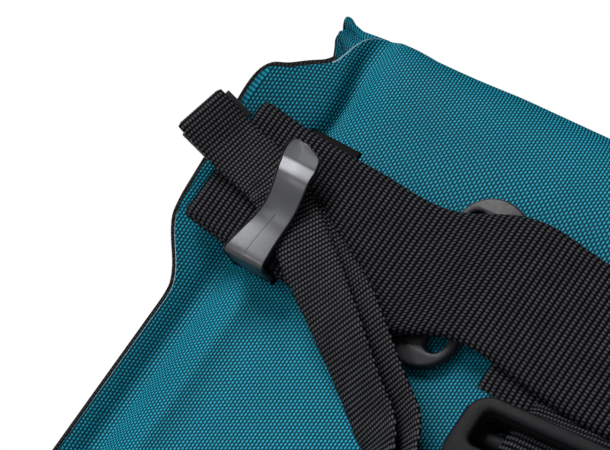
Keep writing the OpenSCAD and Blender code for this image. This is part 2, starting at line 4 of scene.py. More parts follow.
import bmesh
import bpy
import numpy as np
from mathutils import Matrix, Vector

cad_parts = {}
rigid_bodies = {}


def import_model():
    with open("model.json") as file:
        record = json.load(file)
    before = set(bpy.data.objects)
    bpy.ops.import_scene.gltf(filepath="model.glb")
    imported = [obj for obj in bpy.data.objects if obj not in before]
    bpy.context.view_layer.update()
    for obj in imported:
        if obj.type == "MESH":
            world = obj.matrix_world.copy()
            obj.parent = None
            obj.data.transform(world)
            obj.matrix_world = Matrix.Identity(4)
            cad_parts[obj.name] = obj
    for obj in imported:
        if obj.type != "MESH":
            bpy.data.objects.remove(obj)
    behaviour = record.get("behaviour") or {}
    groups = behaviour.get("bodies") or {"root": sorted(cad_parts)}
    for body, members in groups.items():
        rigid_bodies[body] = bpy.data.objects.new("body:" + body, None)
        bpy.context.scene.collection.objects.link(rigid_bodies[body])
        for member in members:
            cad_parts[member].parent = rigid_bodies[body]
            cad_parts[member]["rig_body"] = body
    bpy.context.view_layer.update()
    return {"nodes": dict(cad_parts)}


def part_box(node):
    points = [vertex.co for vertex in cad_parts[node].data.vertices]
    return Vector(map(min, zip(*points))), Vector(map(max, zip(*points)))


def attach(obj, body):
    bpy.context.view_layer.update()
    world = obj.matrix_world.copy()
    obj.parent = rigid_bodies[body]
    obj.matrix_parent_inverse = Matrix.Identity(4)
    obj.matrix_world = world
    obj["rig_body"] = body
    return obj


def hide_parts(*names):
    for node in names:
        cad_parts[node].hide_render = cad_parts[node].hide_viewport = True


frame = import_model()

MM = 0.001
MIRROR = np.array([-1.0, 1.0, 1.0])
SIDES = (("left", np.ones(3)), ("right", MIRROR))


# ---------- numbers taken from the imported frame, in millimetres ----------

def node_box(name):
    low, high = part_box(name)
    return np.array(low) / MM, np.array(high) / MM


shell_low, shell_high = node_box("front_shell")
sheet_low, sheet_high = node_box("back_sheet")
belt_low, belt_high = node_box("front_belt")
boot_high = node_box("base_boot")[1]
HALF = -shell_low[0]
BAG_H = shell_high[2]
BACK_Y = sheet_low[1]
REAR_Y = sheet_high[1]
BELT_Z = (belt_low[2] + belt_high[2]) / 2
BOOT_H = boot_high[2]
SHOULDER_Z = BAG_H - 16
ROLL_Z = BAG_H - 11
RAIL_Z = BELT_Z - 1
BACK_TOP = ROLL_Z - 9.9  # top edge of the rear panel, under the roll
SKIN = 1.0  # outside of the cloth, in front of the depth surface
WEB_W, WEB_T = 25.0, 1.4  # wide webbing
SLOPE, LIFT, LIFT_REACH = 0.577, 3.0, 3.2  # rise of the front from the weld, as in part.scad
TAPER = 0.0022  # how much fuller the bag grows a millimetre downwards
EAR_E = 9.0  # how far the roll sits behind the front
RISE = np.array([[-16.0, 3.2], [-6.0, 2.8], [0.0, 2.5], [9.0, 2.3], [25.0, 4.0], [45.0, 5.0], [70.0, 5.4]])
RISE_FROM, RISE_OVER = 4.0, 16.0  # heights over the belt between which the rise comes in


def taper(z):
    return 1 + TAPER * (BELT_Z - np.maximum(z, BOOT_H + 2))


def bulge(s):
    """Depth of the front at the belt's height, s mm in from the weld."""
    return SLOPE * s + LIFT * (1 - np.exp(-s / LIFT_REACH)) - SLOPE / HALF * np.maximum(0, s - HALF / 2) ** 2


def depth(s, z):
    return bulge(np.maximum(0, s)) * taper(z)


def roll_depth(s):
    """Depth of the middle of the roll."""
    return 0.72 * depth(s, SHOULDER_Z) - EAR_E


def smooth(t):
    t = np.clip(t, 0, 1)
    return t * t * (3 - 2 * t)


def raised(points):
    """Points in (x, e, z) with the top of the bag lifted to the fuller shape of its stuffed roll."""
    p = np.array(points, float)
    s = HALF - abs(p[..., 0])
    rise = np.interp(s, RISE[:, 0], RISE[:, 1])
    p[..., 2] += rise * smooth((p[..., 2] - BELT_Z - RISE_FROM) / RISE_OVER)
    return p


def softplus(s, w):
    """A ramp from zero with a rounded start w mm wide."""
    return w * np.logaddexp(0, s / w)


# ---------- mesh helpers ----------

def to_world(points):
    """(x, distance in front of the back sheet, z) in mm to metres in the row frame."""
    p = np.asarray(points, float)
    out = np.empty_like(p)
    out[..., 0] = p[..., 0]
    out[..., 1] = BACK_Y - p[..., 1]
    out[..., 2] = p[..., 2]
    return out * MM


def add_object(name, data):
    ob = bpy.data.objects.new(name, data)
    bpy.context.scene.collection.objects.link(ob)
    return ob


def make(name, verts, faces, material, body="root", uv=None, replaces=(), slot=None, mats=None,
         face_mats=None, angle=60, weld=0.0):
    """A closed mesh from metre vertices, riding on a body. uv is one (u, v) a vertex, in mm."""
    mesh = bpy.data.meshes.new(name)
    mesh.from_pydata([tuple(v) for v in np.asarray(verts).reshape(-1, 3)], [], [tuple(f) for f in faces])
    for m in mats or [material]:
        mesh.materials.append(m)
    if face_mats is not None:
        mesh.polygons.foreach_set("material_index", np.asarray(face_mats, np.int32))
    mesh.polygons.foreach_set("use_smooth", [True] * len(mesh.polygons))
    if uv is not None:
        loops = np.empty(len(mesh.loops), np.int32)
        mesh.loops.foreach_get("vertex_index", loops)
        layer = mesh.uv_layers.new(name="flat")
        layer.data.foreach_set("uv", np.asarray(uv, np.float32).reshape(-1, 2)[loops].ravel())
    mesh.validate()
    bm = bmesh.new()
    bm.from_mesh(mesh)
    if weld:
        bmesh.ops.remove_doubles(bm, verts=bm.verts, dist=weld)
    bmesh.ops.recalc_face_normals(bm, faces=bm.faces)
    bm.to_mesh(mesh)
    bm.free()
    mesh.set_sharp_from_angle(angle=radians(angle))
    ob = add_object(name, mesh)
    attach(ob, body)
    if replaces:
        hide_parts(*replaces)
    return ob


def quads(rows, cols, first=0, wrap=False, flip=False):
    r, c = np.meshgrid(np.arange(rows - 1), np.arange(cols if wrap else cols - 1), indexing="ij")
    a = r * cols + c
    b = r * cols + (c + 1) % cols
    q = np.stack([a, b, b + cols, a + cols], -1).reshape(-1, 4) + first
    return q[:, ::-1] if flip else q


def arc_uv(points):
    """Flat (u, v) lengths in mm over a grid of points."""
    p = np.asarray(points, float)
    du = np.zeros(p.shape[:2])
    dv = np.zeros(p.shape[:2])
    du[:, 1:] = np.cumsum(np.linalg.norm(np.diff(p, axis=1), axis=2), axis=1)
    dv[1:, :] = np.cumsum(np.linalg.norm(np.diff(p, axis=0), axis=2), axis=0)
    return du, dv


def normals_of(points):
    """Unit normals of a grid of points."""
    p = np.asarray(points, float)
    gu = np.gradient(p, axis=1)
    gv = np.gradient(p, axis=0)
    n = np.cross(gu, gv)
    return n / np.maximum(np.linalg.norm(n, axis=2, keepdims=True), 1e-9)


def slab(points, thick, uv):
    """A closed sheet: the grid and its offset by 'thick' against the normals. Returns verts, faces, uv, and a
    kind for each face: 0 front, 1 back, 2 rim."""
    p = np.asarray(points, float)
    rows, cols = p.shape[:2]
    back = p - normals_of(p) * thick
    verts = np.concatenate([p.reshape(-1, 3), back.reshape(-1, 3)])
    n = rows * cols
    faces = [quads(rows, cols), quads(rows, cols, n, flip=True)]
    rim = np.concatenate([np.arange(cols), cols - 1 + cols * np.arange(1, rows),
                          n - 2 - np.arange(cols - 1), cols * np.arange(rows - 2, 0, -1)])
    nxt = np.roll(rim, -1)
    faces.append(np.stack([nxt, rim, rim + n, nxt + n], -1))
    kinds = np.concatenate([np.full(len(f), k) for k, f in enumerate(faces)])
    flat_uv = np.stack(uv, -1).reshape(-1, 2)
    return verts, np.concatenate(faces), np.concatenate([flat_uv, flat_uv]), kinds


# ---------- materials ----------

class Nodes:
    """Small helper for building a material's nodes."""

    def __init__(self, name, **shader):
        self.mat = bpy.data.materials.new(name)
        self.mat.use_nodes = True
        self.tree = self.mat.node_tree
        self.bsdf = self.tree.nodes["Principled BSDF"]
        for key, value in shader.items():
            self.bsdf.inputs[key.replace("_", " ")].default_value = value

    def node(self, kind, **props):
        n = self.tree.nodes.new(kind)
        for key, value in props.items():
            setattr(n, key, value)
        return n

    def put(self, value, socket):
        if isinstance(value, bpy.types.NodeSocket):
            self.tree.links.new(value, socket)
        else:
            socket.default_value = value

    def math(self, op, a, b=0.0):
        n = self.node("ShaderNodeMath", operation=op)
        for value, socket in zip((a, b), n.inputs):
            self.put(value, socket)
        return n.outputs[0]

    def mul(self, a, b):
        return self.math("MULTIPLY", a, b)

    def add(self, a, b):
        return self.math("ADD", a, b)

    def uv(self):
        n = self.node("ShaderNodeUVMap", uv_map="flat")
        s = self.node("ShaderNodeSeparateXYZ")
        self.put(n.outputs[0], s.inputs[0])
        return s.outputs[0], s.outputs[1]

    def position(self):
        return self.node("ShaderNodeTexCoord").outputs["Object"]

    def noise(self, scale, detail=3.0):
        n = self.node("ShaderNodeTexNoise")
        self.put(self.position(), n.inputs["Vector"])
        n.inputs["Scale"].default_value = scale
        n.inputs["Detail"].default_value = detail
        return n.outputs["Fac"]

    def span(self, value, a, b, low=0.0, high=1.0):
        n = self.node("ShaderNodeMapRange", clamp=True)
        for v, s in zip((value, a, b, low, high), n.inputs):
            self.put(v, s)
        return n.outputs[0]

    def blend(self, fac, a, b):
        n = self.node("ShaderNodeMix", data_type="RGBA")
        self.put(fac, n.inputs[0])
        for value, socket in ((a, n.inputs[6]), (b, n.inputs[7])):
            self.put(value if isinstance(value, bpy.types.NodeSocket) else (*value, 1.0), socket)
        return n.outputs[2]

    def bump(self, height, distance):
        n = self.node("ShaderNodeBump")
        n.inputs["Strength"].default_value = 1.0
        n.inputs["Distance"].default_value = distance
        self.put(height, n.inputs["Height"])
        return n.outputs[0]

    def finish(self, color=None, rough=None, normal=None):
        for value, key in ((color, "Base Color"), (rough, "Roughness"), (normal, "Normal")):
            if value is not None:
                self.put(value, self.bsdf.inputs[key])
        return self.mat


def crowns(n, along, across, power):
    """Height of rows of yarn crowns, one in each unit along and across."""
    su, sv = (n.math("POWER", n.math("ABSOLUTE", n.math("SINE", n.mul(x, pi))), power)
              for x in (along, across))
    return n.mul(su, n.add(0.3, n.mul(sv, 0.7)))


def offset_rows(n, u, v, pitch_u, pitch_v, shift=0.5):
    """Crown counts along and across, from flat lengths in mm, each row shifted against the one before."""
    along = n.math("DIVIDE", u, pitch_u)
    return along, n.add(n.math("DIVIDE", v, pitch_v), n.mul(n.math("FLOOR", along), shift))


def fabric(name, painted_gap_shade_and_tone, body, painted_crown_highlight, pitch=0.63, rough=0.46, relief=0.00012, gloss=0.09):
    """Coated plain-weave cloth: yarn crowns with a painted highlight, painted shade in the gaps between them, slow
    tone changes.
    """
    n = Nodes(name, Specular_IOR_Level=gloss)
    u, v = n.uv()
    wander = n.noise(60.0, 2.0)
    shift = n.mul(n.math("SUBTRACT", wander, 0.5), 0.5)
    lift = crowns(n, *offset_rows(n, n.add(u, shift), n.add(v, shift), pitch, pitch * 1.1), 0.8)
    tone = n.noise(25.0, 4.0)
    # painted shade in the gaps between the yarns and a painted highlight on the yarn crowns, both set by the
    # crowns' height
    color = n.blend(n.span(lift, 0.2, 0.62), painted_gap_shade_and_tone, body)
    color = n.blend(n.span(lift, 0.55, 0.95), color, painted_crown_highlight)
    color = n.blend(n.span(tone, 0.35, 0.65, 0.0, 0.18), color, painted_gap_shade_and_tone)
    wear = n.noise(1400.0, 2.0)
    roughness = n.add(n.span(lift, 0.2, 1.0, rough + 0.2, rough), n.span(wear, 0.3, 0.7, -0.05, 0.06))
    return n.finish(color, roughness, n.bump(lift, relief))


RIB, STITCH = 1.1, 0.62  # spacing of the webbing's cross ribs and of the stitches in a rib
TAPE_RIB = 0.85


def webbing(name, painted_gap_shade_and_tone, light, rib=RIB, stitch=STITCH, rough=0.5, relief=0.00016):
    """Ribbed webbing: cross ribs broken into stitches, with a painted highlight on the stitch crowns and painted
    shade between them.
    """
    n = Nodes(name, Specular_IOR_Level=0.05)
    fine = n.noise(9000.0, 2.0)
    height = n.add(crowns(n, *offset_rows(n, *n.uv(), rib, stitch), 0.6), n.mul(fine, 0.12))
    tone = n.noise(300.0, 3.0)
    # painted shade between the stitches, and a painted highlight in the lighter colour on their crowns
    color = n.blend(n.span(height, 0.58, 1.02), painted_gap_shade_and_tone, light)
    color = n.blend(n.span(tone, 0.3, 0.7, 0.0, 0.3), color, painted_gap_shade_and_tone)
    return n.finish(color, n.span(height, 0.3, 1.0, rough + 0.2, rough - 0.08), n.bump(height, relief))


def moulded(name, color, light, rough=0.45, grain=2600.0, relief=0.00002, **shader):
    """Moulded plastic or coated metal: fine grain, uneven gloss, paler on worn edges."""
    n = Nodes(name, **shader)
    fine = n.noise(grain, 2.0)
    broad = n.noise(90.0, 4.0)
    edge = n.node("ShaderNodeNewGeometry").outputs["Pointiness"]
    tone = n.blend(n.span(broad, 0.35, 0.7, 0.0, 0.5), color, light)
    tone = n.blend(n.span(edge, 0.52, 0.6, 0.0, 0.6), tone, light)
    roughness = n.add(n.span(broad, 0.3, 0.7, rough - 0.05, rough + 0.07),
                       n.span(fine, 0.3, 0.7, -0.03, 0.04))
    return n.finish(tone, roughness, n.bump(fine, relief))


# In each cloth and webbing below, the first colour holds painted shade for the gaps and the last a painted
# highlight for the crowns.
TEAL = fabric("teal_cloth", (0.0004, 0.010, 0.021), (0.0009, 0.090, 0.150), (0.013, 0.335, 0.44))
BLACK_CLOTH = fabric("black_cloth", (0.003, 0.003, 0.0035), (0.012, 0.0125, 0.014), (0.028, 0.029, 0.032))
CUT_EDGE = moulded("cut_edge", (0.16, 0.30, 0.36), (0.28, 0.42, 0.47), rough=0.7, grain=4000.0)
BLACK_EDGE = moulded("black_cut_edge", (0.012, 0.011, 0.013), (0.04, 0.038, 0.042), rough=0.6, grain=3000.0)
WEB = webbing("belt_webbing", (0.0003, 0.0003, 0.0005), (0.046, 0.047, 0.056))
TAPE = webbing("narrow_tape", (0.0006, 0.0006, 0.0008), (0.065, 0.066, 0.074), rib=TAPE_RIB, stitch=0.6,
               relief=0.00014)
CLIP = moulded("clip_black_steel", (0.037, 0.038, 0.042), (0.054, 0.055, 0.061), rough=0.3,
               grain=5000.0, relief=0.000006, Metallic=0.6)
# The clip's back is the same steel as its arm, painted nearly black as shade where it turns under the belt.
CLIP_BACK_PAINTED_SHADE = moulded("clip_back_steel_painted_shade", (0.003, 0.003, 0.0035), (0.008, 0.008, 0.009), rough=0.6,
                     Specular_IOR_Level=0.05)
PLATE = moulded("plate_satin", (0.008, 0.008, 0.010), (0.04, 0.04, 0.045), rough=0.4, Specular_IOR_Level=0.18)
PLASTIC = moulded("black_plastic", (0.004, 0.004, 0.005), (0.010, 0.010, 0.012), rough=0.5,
                  Specular_IOR_Level=0.06)
BOOT = moulded("boot_plastic", (0.02, 0.02, 0.022), (0.045, 0.045, 0.05), rough=0.55, relief=0.00006)
LATCH = moulded("latch_plastic", (0.13, 0.14, 0.155), (0.24, 0.25, 0.27), rough=0.45)
RUBBER = moulded("grip_rubber", (0.016, 0.016, 0.016), (0.035, 0.035, 0.035), rough=0.7, relief=0.00005)
ALLOY = moulded("black_anodised", (0.055, 0.056, 0.062), (0.16, 0.16, 0.17), rough=0.35, grain=3500.0,
                relief=0.000008, Metallic=0.8)
STEEL = moulded("satin_steel", (0.48, 0.49, 0.51), (0.62, 0.63, 0.64), rough=0.3, grain=4500.0,
                relief=0.000006, Metallic=1.0)
BOARD = moulded("board_plastic", (0.05, 0.05, 0.055), (0.09, 0.09, 0.10), rough=0.5)


# ---------- the front sheet, its flanges and tabs ----------

# Outer edge of the flange, from the belt's height: [height on the weld, distance outside it, height of the edge].
OUTLINE = np.array([
    [-26.0, 6.7, -26.0], [-23.0, 7.0, -23.4], [-20.0, 8.6, -20.4], [-16.5, 12.0, -16.2], [-14.0, 13.9, -13.2],
    [-10.0, 14.6, -9.0], [-3.0, 15.2, -1.0], [4.0, 16.2, 8.0], [8.0, 16.8, 13.0], [10.0, 16.5, 15.6],
    [12.0, 15.2, 17.6], [14.5, 13.0, 18.6], [18.5, 10.0, 21.6], [22.0, 7.6, 23.6], [25.0, 6.5, 25.6],
    [28.0, 5.9, 28.6], [31.0, 4.8, 31.4], [33.5, 2.4, 33.8], [35.2, 0.6, 35.2],
])
OUTLINE = np.concatenate([[[2.0, 6.7, 2.3]], OUTLINE + [BELT_Z, 0, BELT_Z]])


def crown_e(s, z):
    """Depth of the sheet where it bends back over the roll, at the height z."""
    u = np.clip((z - SHOULDER_Z) / (BAG_H - SHOULDER_Z), 0, 1)
    c = (1 - u ** 2.5) ** 0.4
    d, e = depth(s, SHOULDER_Z), roll_depth(np.maximum(s, 0))
    return e + (d - e) * c


def crease_shift(z):
    return 2.4 * np.exp(-((z - BELT_Z - 15.0) / 9.0) ** 2)


def sheet_e(s, z):
    """Depth of the outside of the front layer, from the flange (s below 0) into the body."""
    shift = crease_shift(z)
    soft = softplus(s - shift, 0.45 + 0.25 * smooth((BELT_Z - z) / 40.0)) + shift * smooth((s - 4) / 22.0)
    base = np.where(z > SHOULDER_Z, crown_e(soft, z), depth(soft, z))
    dip = 0.6 + 0.75 * np.exp(-((z - BELT_Z - 20.0) / 10.0) ** 2)
    base = base - dip * np.exp(-((s - shift + 1.6) / 2.0) ** 2)
    flange = smooth((-s - 3.0) / 8.0)
    base = base + 0.45 * flange * np.sin(z / 17.0 + 0.6)
    inner = smooth((s - 6.0) / 20.0)
    waves = 0.35 * np.sin(z / 23.0 + s / 19.0) * np.sin(s / 13.0 - z / 60.0)
    low = smooth((BELT_Z - 6 - z) / 14.0)
    ridge = 1.0 * np.exp(-((s - 5.0) / 1.8) ** 2) - 0.55 * np.exp(-((s - 9.8) / 2.4) ** 2)
    base = base + low * ridge
    return base + SKIN * smooth(s / 2.0) + inner * waves * smooth((SHOULDER_Z - 8 - z) / 30.0 + 0.3)


def merge(*parts):
    """One list of rising numbers from linspace parts."""
    return np.unique(np.round(np.concatenate([np.linspace(*p) for p in parts]), 4))


weld_z = merge((2.3, 236.0, 90), (236.0, 300.0, 108))
in_s = merge((0.0, 6.0, 23), (6.0, 20.0, 19), (20.0, HALF, 50))
flange_t = np.linspace(1, 0, 22)[:-1]
outline_s = np.interp(weld_z, OUTLINE[:, 0], OUTLINE[:, 1])
outline_z = np.interp(weld_z, OUTLINE[:, 0], OUTLINE[:, 2])


def soften(values, width):
    kernel = np.hanning(width + 2)[1:-1]
    pad = np.pad(values, width // 2, mode="edge")
    return np.convolve(pad, kernel / kernel.sum(), mode="valid")


curved = int(np.searchsorted(weld_z, BELT_Z - 40))
outline_s = np.concatenate([outline_s[:curved], soften(outline_s[curved:], 7)])
outline_z = np.concatenate([outline_z[:curved], soften(outline_z[curved:], 7)])


def left_flange(inset):
    """(s, z) grids over the flange, from its edge to the weld, 'inset' short of the outer edge."""
    edge_s = -np.maximum(outline_s - inset, 0.02)
    edge_z = outline_z - inset * smooth((weld_z - BELT_Z - 8) / 6.0) * smooth((BELT_Z + 32 - weld_z) / 6.0)
    s = edge_s[:, None] * flange_t[None, :]
    z = weld_z[:, None] + (edge_z - weld_z)[:, None] * flange_t[None, :]
    return s, z


def mirrored(columns):
    """The columns of the left half and the middle, followed by their mirror image."""
    return np.concatenate([columns, columns[:, -2::-1]], 1)


def both_sides(s, z):
    """x and z over the whole width, from the left half's distances in from the weld."""
    x = s - HALF
    return np.concatenate([x, -x[:, -2::-1]], 1), mirrored(z)


RIM = 0.75  # how far the rear panel shows outside the front sheet
CLOTH_T, BACK_T = 0.8, 0.75
BACK_BEHIND = 0.95  # the rear panel's face behind the front sheet's
CUT_FROM = BELT_Z + 23  # above this height the pale cut edge of the cloth shows
BACK_TO = BELT_Z + 24.5  # top row of the rear panel
CUT_KIND = 2

fs, fz = left_flange(RIM)
s_all = np.concatenate([fs, np.repeat(in_s[None, :], len(weld_z), 0)], 1)
z_all = np.concatenate([fz, np.repeat(weld_z[:, None], len(in_s), 1)], 1)
top_lift = 0.7 * np.exp(-((s_all - 4.0) / 9.0) ** 2) * smooth((z_all - 292) / 8.0)
x_front, z_front = both_sides(s_all, z_all)
grid = np.stack([x_front, mirrored(sheet_e(s_all, z_all)), z_front + mirrored(top_lift)], -1)
# The yarns stay straight: every row takes its lengths from the row at the belt's height.
belt_row = np.argmin(abs(weld_z - BELT_Z))
lengths = arc_uv(grid)[0][belt_row]
lengths = lengths - lengths[len(lengths) // 2]
u_front = np.interp(x_front, x_front[belt_row], lengths)
verts, faces, uv, kinds = slab(to_world(raised(grid)), CLOTH_T * MM, (u_front, z_front))
cut_rows = np.flatnonzero(weld_z[:-1] > CUT_FROM)
across_faces = x_front.shape[1] - 1
kinds[cut_rows * across_faces] = CUT_KIND
kinds[cut_rows * across_faces + across_faces - 1] = CUT_KIND
make("front_sheet", verts, faces, None, uv=uv, mats=[TEAL, TEAL, CUT_EDGE],
     face_mats=kinds, replaces=["front_shell"], slot="coated_fabric")

# ---------- the rear panel: black layer that shows as a rim around the flange ----------

rs, rz = left_flange(0.0)
mid_s = merge((0.0, 8.0, 9), (8.0, HALF, 29))
s_back = np.concatenate([rs, np.repeat(mid_s[None, :], len(weld_z), 0)], 1)
fade = smooth(mid_s / 6.0)[None, :]
z_mid = weld_z[:, None] * (1 - fade) + np.minimum(weld_z, BACK_TOP)[:, None] * fade
z_back = np.concatenate([rz, z_mid], 1)
e_back = np.where(s_back < 6, np.minimum(sheet_e(s_back, z_back), 0.0), 0.0) - BACK_BEHIND
x_back, z_both = both_sides(s_back, z_back)
rows_kept = weld_z <= BACK_TO
grid = np.stack([x_back, mirrored(e_back), z_both], -1)[rows_kept]
verts, faces, uv, kinds = slab(to_world(raised(grid)), BACK_T * MM, (x_back[rows_kept], z_both[rows_kept]))
make("rear_panel", verts, faces, None, uv=uv, mats=[BLACK_CLOTH, BLACK_CLOTH, BLACK_EDGE],
     face_mats=kinds, replaces=["back_sheet"], slot="back_fabric")


# ---------- webbing ----------

def resample(points, step):
    """Points at equal steps along a polyline, with the arc length of each."""
    p = np.asarray(points, float)
    d = np.concatenate([[0], np.cumsum(np.linalg.norm(np.diff(p[:, :3], axis=0), axis=1))])
    n = max(3, int(round(d[-1] / step)) + 1)
    at = np.linspace(0, d[-1], n)
    return np.stack([np.interp(at, d, p[:, k]) for k in range(p.shape[1])], 1), at


def rounded(path, times=2):
    """Chaikin corner cutting of an open polyline."""
    p = np.asarray(path, float)
    for _ in range(times):
        q = p[:-1] * 0.75 + p[1:] * 0.25
        r = p[:-1] * 0.25 + p[1:] * 0.75
        p = np.concatenate([p[:1], np.stack([q, r], 1).reshape(-1, p.shape[1])[1:-1], p[-1:]])
    return p


def unit_rows(v):
    return v / np.maximum(np.linalg.norm(v, axis=1, keepdims=True), 1e-9)


def strip(name, path, width_dir, width, thick, material, rib=RIB, depth_of_rib=0.15, cols=14, per_rib=5,
          edge_part=0.06, upright=False, **kw):
    """A woven strap swept along 'path' in (x, e, z) mm, with its cross ribs as real relief.
    width_dir is one direction for the whole path, or one a point; upright keeps it as given, and otherwise it
    is squared to the path."""
    points, at = resample(path, rib / per_rib)
    t = unit_rows(np.gradient(points[:, :3], axis=0))
    w = np.asarray(width_dir, float)
    if w.ndim == 2:
        w = np.stack([np.interp(np.linspace(0, 1, len(points)), np.linspace(0, 1, len(w)), w[:, k])
                      for k in range(3)], 1)
    else:
        w = np.repeat(w[None, :], len(points), 0)
    if not upright:
        w = unit_rows(w - t * np.sum(w * t, 1, keepdims=True))
    n = unit_rows(np.cross(t, w))
    half = width / 2
    across = np.sin(np.linspace(-pi / 2, pi / 2, cols)) * 0.4 + np.linspace(-1, 1, cols) * 0.6
    v = np.concatenate([across, -across])
    side = np.concatenate([np.ones(cols), -np.ones(cols)])
    edge = np.sqrt(np.clip(1 - ((abs(v) - 1 + edge_part) / edge_part).clip(0) ** 2, 0.12, 1))
    ribs = depth_of_rib * (abs(np.sin(np.pi * at / rib)) ** 0.7 - 0.6)
    up = (thick / 2 + ribs[:, None]) * edge[None, :] * side[None, :]
    reach = half * v[None, :] * (1 + 0.4 * ribs[:, None] / half * (abs(v) > 0.97))
    p = points[:, None, :3] + w[:, None, :] * reach[:, :, None] + n[:, None, :] * up[:, :, None]
    rows, ring = p.shape[:2]
    faces = quads(rows, ring, wrap=True)
    caps = [list(range(ring)), list(range((rows - 1) * ring, rows * ring))[::-1]]
    uv = np.stack(np.broadcast_arrays(at[:, None], reach + width), -1)
    return make(name, to_world(p), [list(f) for f in faces] + caps, material, uv=uv, angle=75, **kw)


FOLD_S, FOLD_E = -11.0, 3.6  # where the belt turns back on itself: distance in from the weld, and depth
LAND_S = 24.0  # where its straight end reaches the front
BELT_GAP = 4.5  # the belt's middle in front of the bag, over the plates
TAIL_DROP = WEB_T + 0.4  # the folded tail behind the belt
TAIL_S = 15.0
UP = np.array([0.0, 0.0, 1.0])


def belt_surf(s):
    return depth(s, BELT_Z - WEB_W / 2 - 2) + SKIN


BELT_RISE = (belt_surf(LAND_S) + BELT_GAP - FOLD_E) / (LAND_S - FOLD_S)
LEAN = atan(BELT_RISE)
# How far the belt wanders from its line: [distance in from the weld, height].
SAG = np.array([[-11, 0.0], [-3, -1.2], [6, -1.9], [13, -2.1], [21, -2.9], [26, -2.4], [30, -0.6], [33, 1.3],
                [36, 2.7], [41, 3.2], [48, 2.0], [58, 0.4], [70, 0.0]])


def main_e(s):
    return np.where(s < LAND_S, FOLD_E + BELT_RISE * (s - FOLD_S), belt_surf(s) + BELT_GAP)


SAG_S = np.arange(-12.0, 80.0, 0.5)
SAG_Z = soften(np.interp(SAG_S, SAG[:, 0], SAG[:, 1]), 15)


def sag(s):
    """How far the belt wanders below or above its line, from its uneven tension."""
    return np.interp(s, SAG_S, SAG_Z)


def beside(s, n):
    """A point beside the straight end of the belt, n in front of the middle of the webbing, as (s, e)."""
    return np.array([s - n * sin(LEAN), main_e(s) + n * cos(LEAN)])


def belt_path():
    half = [beside(TAIL_S, -TAIL_DROP), beside(TAIL_S - 6, -TAIL_DROP)]
    half += [beside(s, -TAIL_DROP) for s in np.linspace(5, FOLD_S + 1, 6)]
    centre = beside(FOLD_S, -TAIL_DROP / 2)
    half += [centre + TAIL_DROP / 2 * np.array([cos(a + LEAN), sin(a + LEAN)])
             for a in np.radians(np.arange(240, 119, -20))]
    half += [np.array([s, float(main_e(s))]) for s in np.linspace(FOLD_S + 1, HALF, 80)]
    half = rounded(half, 1)
    left = np.stack([half[:, 0] - HALF, half[:, 1], BELT_Z + sag(half[:, 0])], 1)
    return np.concatenate([left, left[-2::-1] * MIRROR])


def smooth_path(p, width=9):
    out = np.array(p, float)
    kernel = np.hanning(width + 2)[1:-1]
    kernel /= kernel.sum()
    for k in range(out.shape[1]):
        pad = np.concatenate([2 * out[0, k] - out[1:width // 2 + 1, k][::-1], out[:, k],
                              2 * out[-1, k] - out[-width // 2:-1, k][::-1]])
        out[:, k] = np.convolve(pad, kernel, mode="valid")[:len(out)]
    return out


strip("wide_belt", belt_path(), UP, WEB_W, WEB_T, WEB, upright=True, replaces=["front_belt"], slot="webbing",
      cols=18)

INNER_FROM, INNER_OUT, INNER_DROP = 45.0, 2.7, 2.0
inner_s = np.linspace(INNER_FROM, HALF, 30)
inner = np.stack([inner_s - HALF, belt_surf(inner_s) + INNER_OUT, np.full(30, BELT_Z - INNER_DROP)], 1)
strip("inner_layer", np.concatenate([inner, inner[-2::-1] * MIRROR]), UP, WEB_W, WEB_T - 0.2, WEB,
      replaces=["inner_belt"], slot="webbing", cols=8, depth_of_rib=0.1)


# ---------- narrow strap: one tape folded double at its end ----------

TAPE_W, TAPE_T = 10.0, 0.85
START, BEND = (-19.5, 3.6), (-1.5, -0.6)  # its folded end, and where it starts to fall
FALL = 37.0  # slope of the fall, in degrees
TAPE_IN, TAPE_LOW = 39.5, -66.0  # where it hangs straight down, and how far
TURN_R = 9.0
LAYER = 0.5  # half the distance between the two layers


def tape_route():
    """(distance in from the weld, height above the belt's middle), from the fold to the anchor."""
    arc_s = TAPE_IN - TURN_R * (1 - sin(radians(FALL)))
    arc_z = BEND[1] - (arc_s - BEND[0]) * tan(radians(FALL))
    route = [START, BEND, (arc_s, arc_z)]
    drop = cos(radians(FALL))
    route += [(TAPE_IN - TURN_R * (1 - sin(a)), arc_z - TURN_R * (drop - cos(a)))
              for a in np.radians([46, 54, 62, 70, 78, 86])]
    return np.array(route + [(TAPE_IN, arc_z - TURN_R * drop - 2), (TAPE_IN, TAPE_LOW)])


def tape_e(s, dz):
    on_belt = np.maximum(5.6, main_e(s) + (WEB_T / 2 + 1.3) / cos(LEAN))
    on_bag = depth(s + 2, BELT_Z + dz - 6) + SKIN + 1.6
    free = dz + WEB_W / 2 + 6
    return np.where(free > 0, on_belt, np.maximum(on_bag, on_belt + 0.35 * free))


route, _ = resample(tape_route(), 1.0)
route = smooth_path(route, 9)
tape_mid = np.stack([route[:, 0] - HALF, smooth_path(tape_e(route[:, 0], route[:, 1])[:, None], 9)[:, 0],
                     BELT_Z + route[:, 1]], 1)
t_dir = unit_rows(np.gradient(tape_mid, axis=0))
belt_normal = np.array([-sin(LEAN), cos(LEAN), 0.0])
far = np.linspace(0, 1, len(tape_mid))
turned = np.interp(far, [0.0, 0.28, 0.43, 0.6, 1.0], [LEAN, LEAN, 1.05, 1.30, 1.36])
face = unit_rows(np.stack([-np.sin(turned), np.cos(turned), -0.1 * smooth((far - 0.28) / 0.2)], 1))
w_dir = unit_rows(np.cross(t_dir, face))
n_dir = np.cross(w_dir, t_dir)
n_dir *= np.sign(np.sum(n_dir * face, 1))[:, None]
spread = np.interp(far, [0.2, 0.42, 0.6], [0.0, 2.8, 3.4])[:, None]
top_layer = tape_mid + n_dir * LAYER
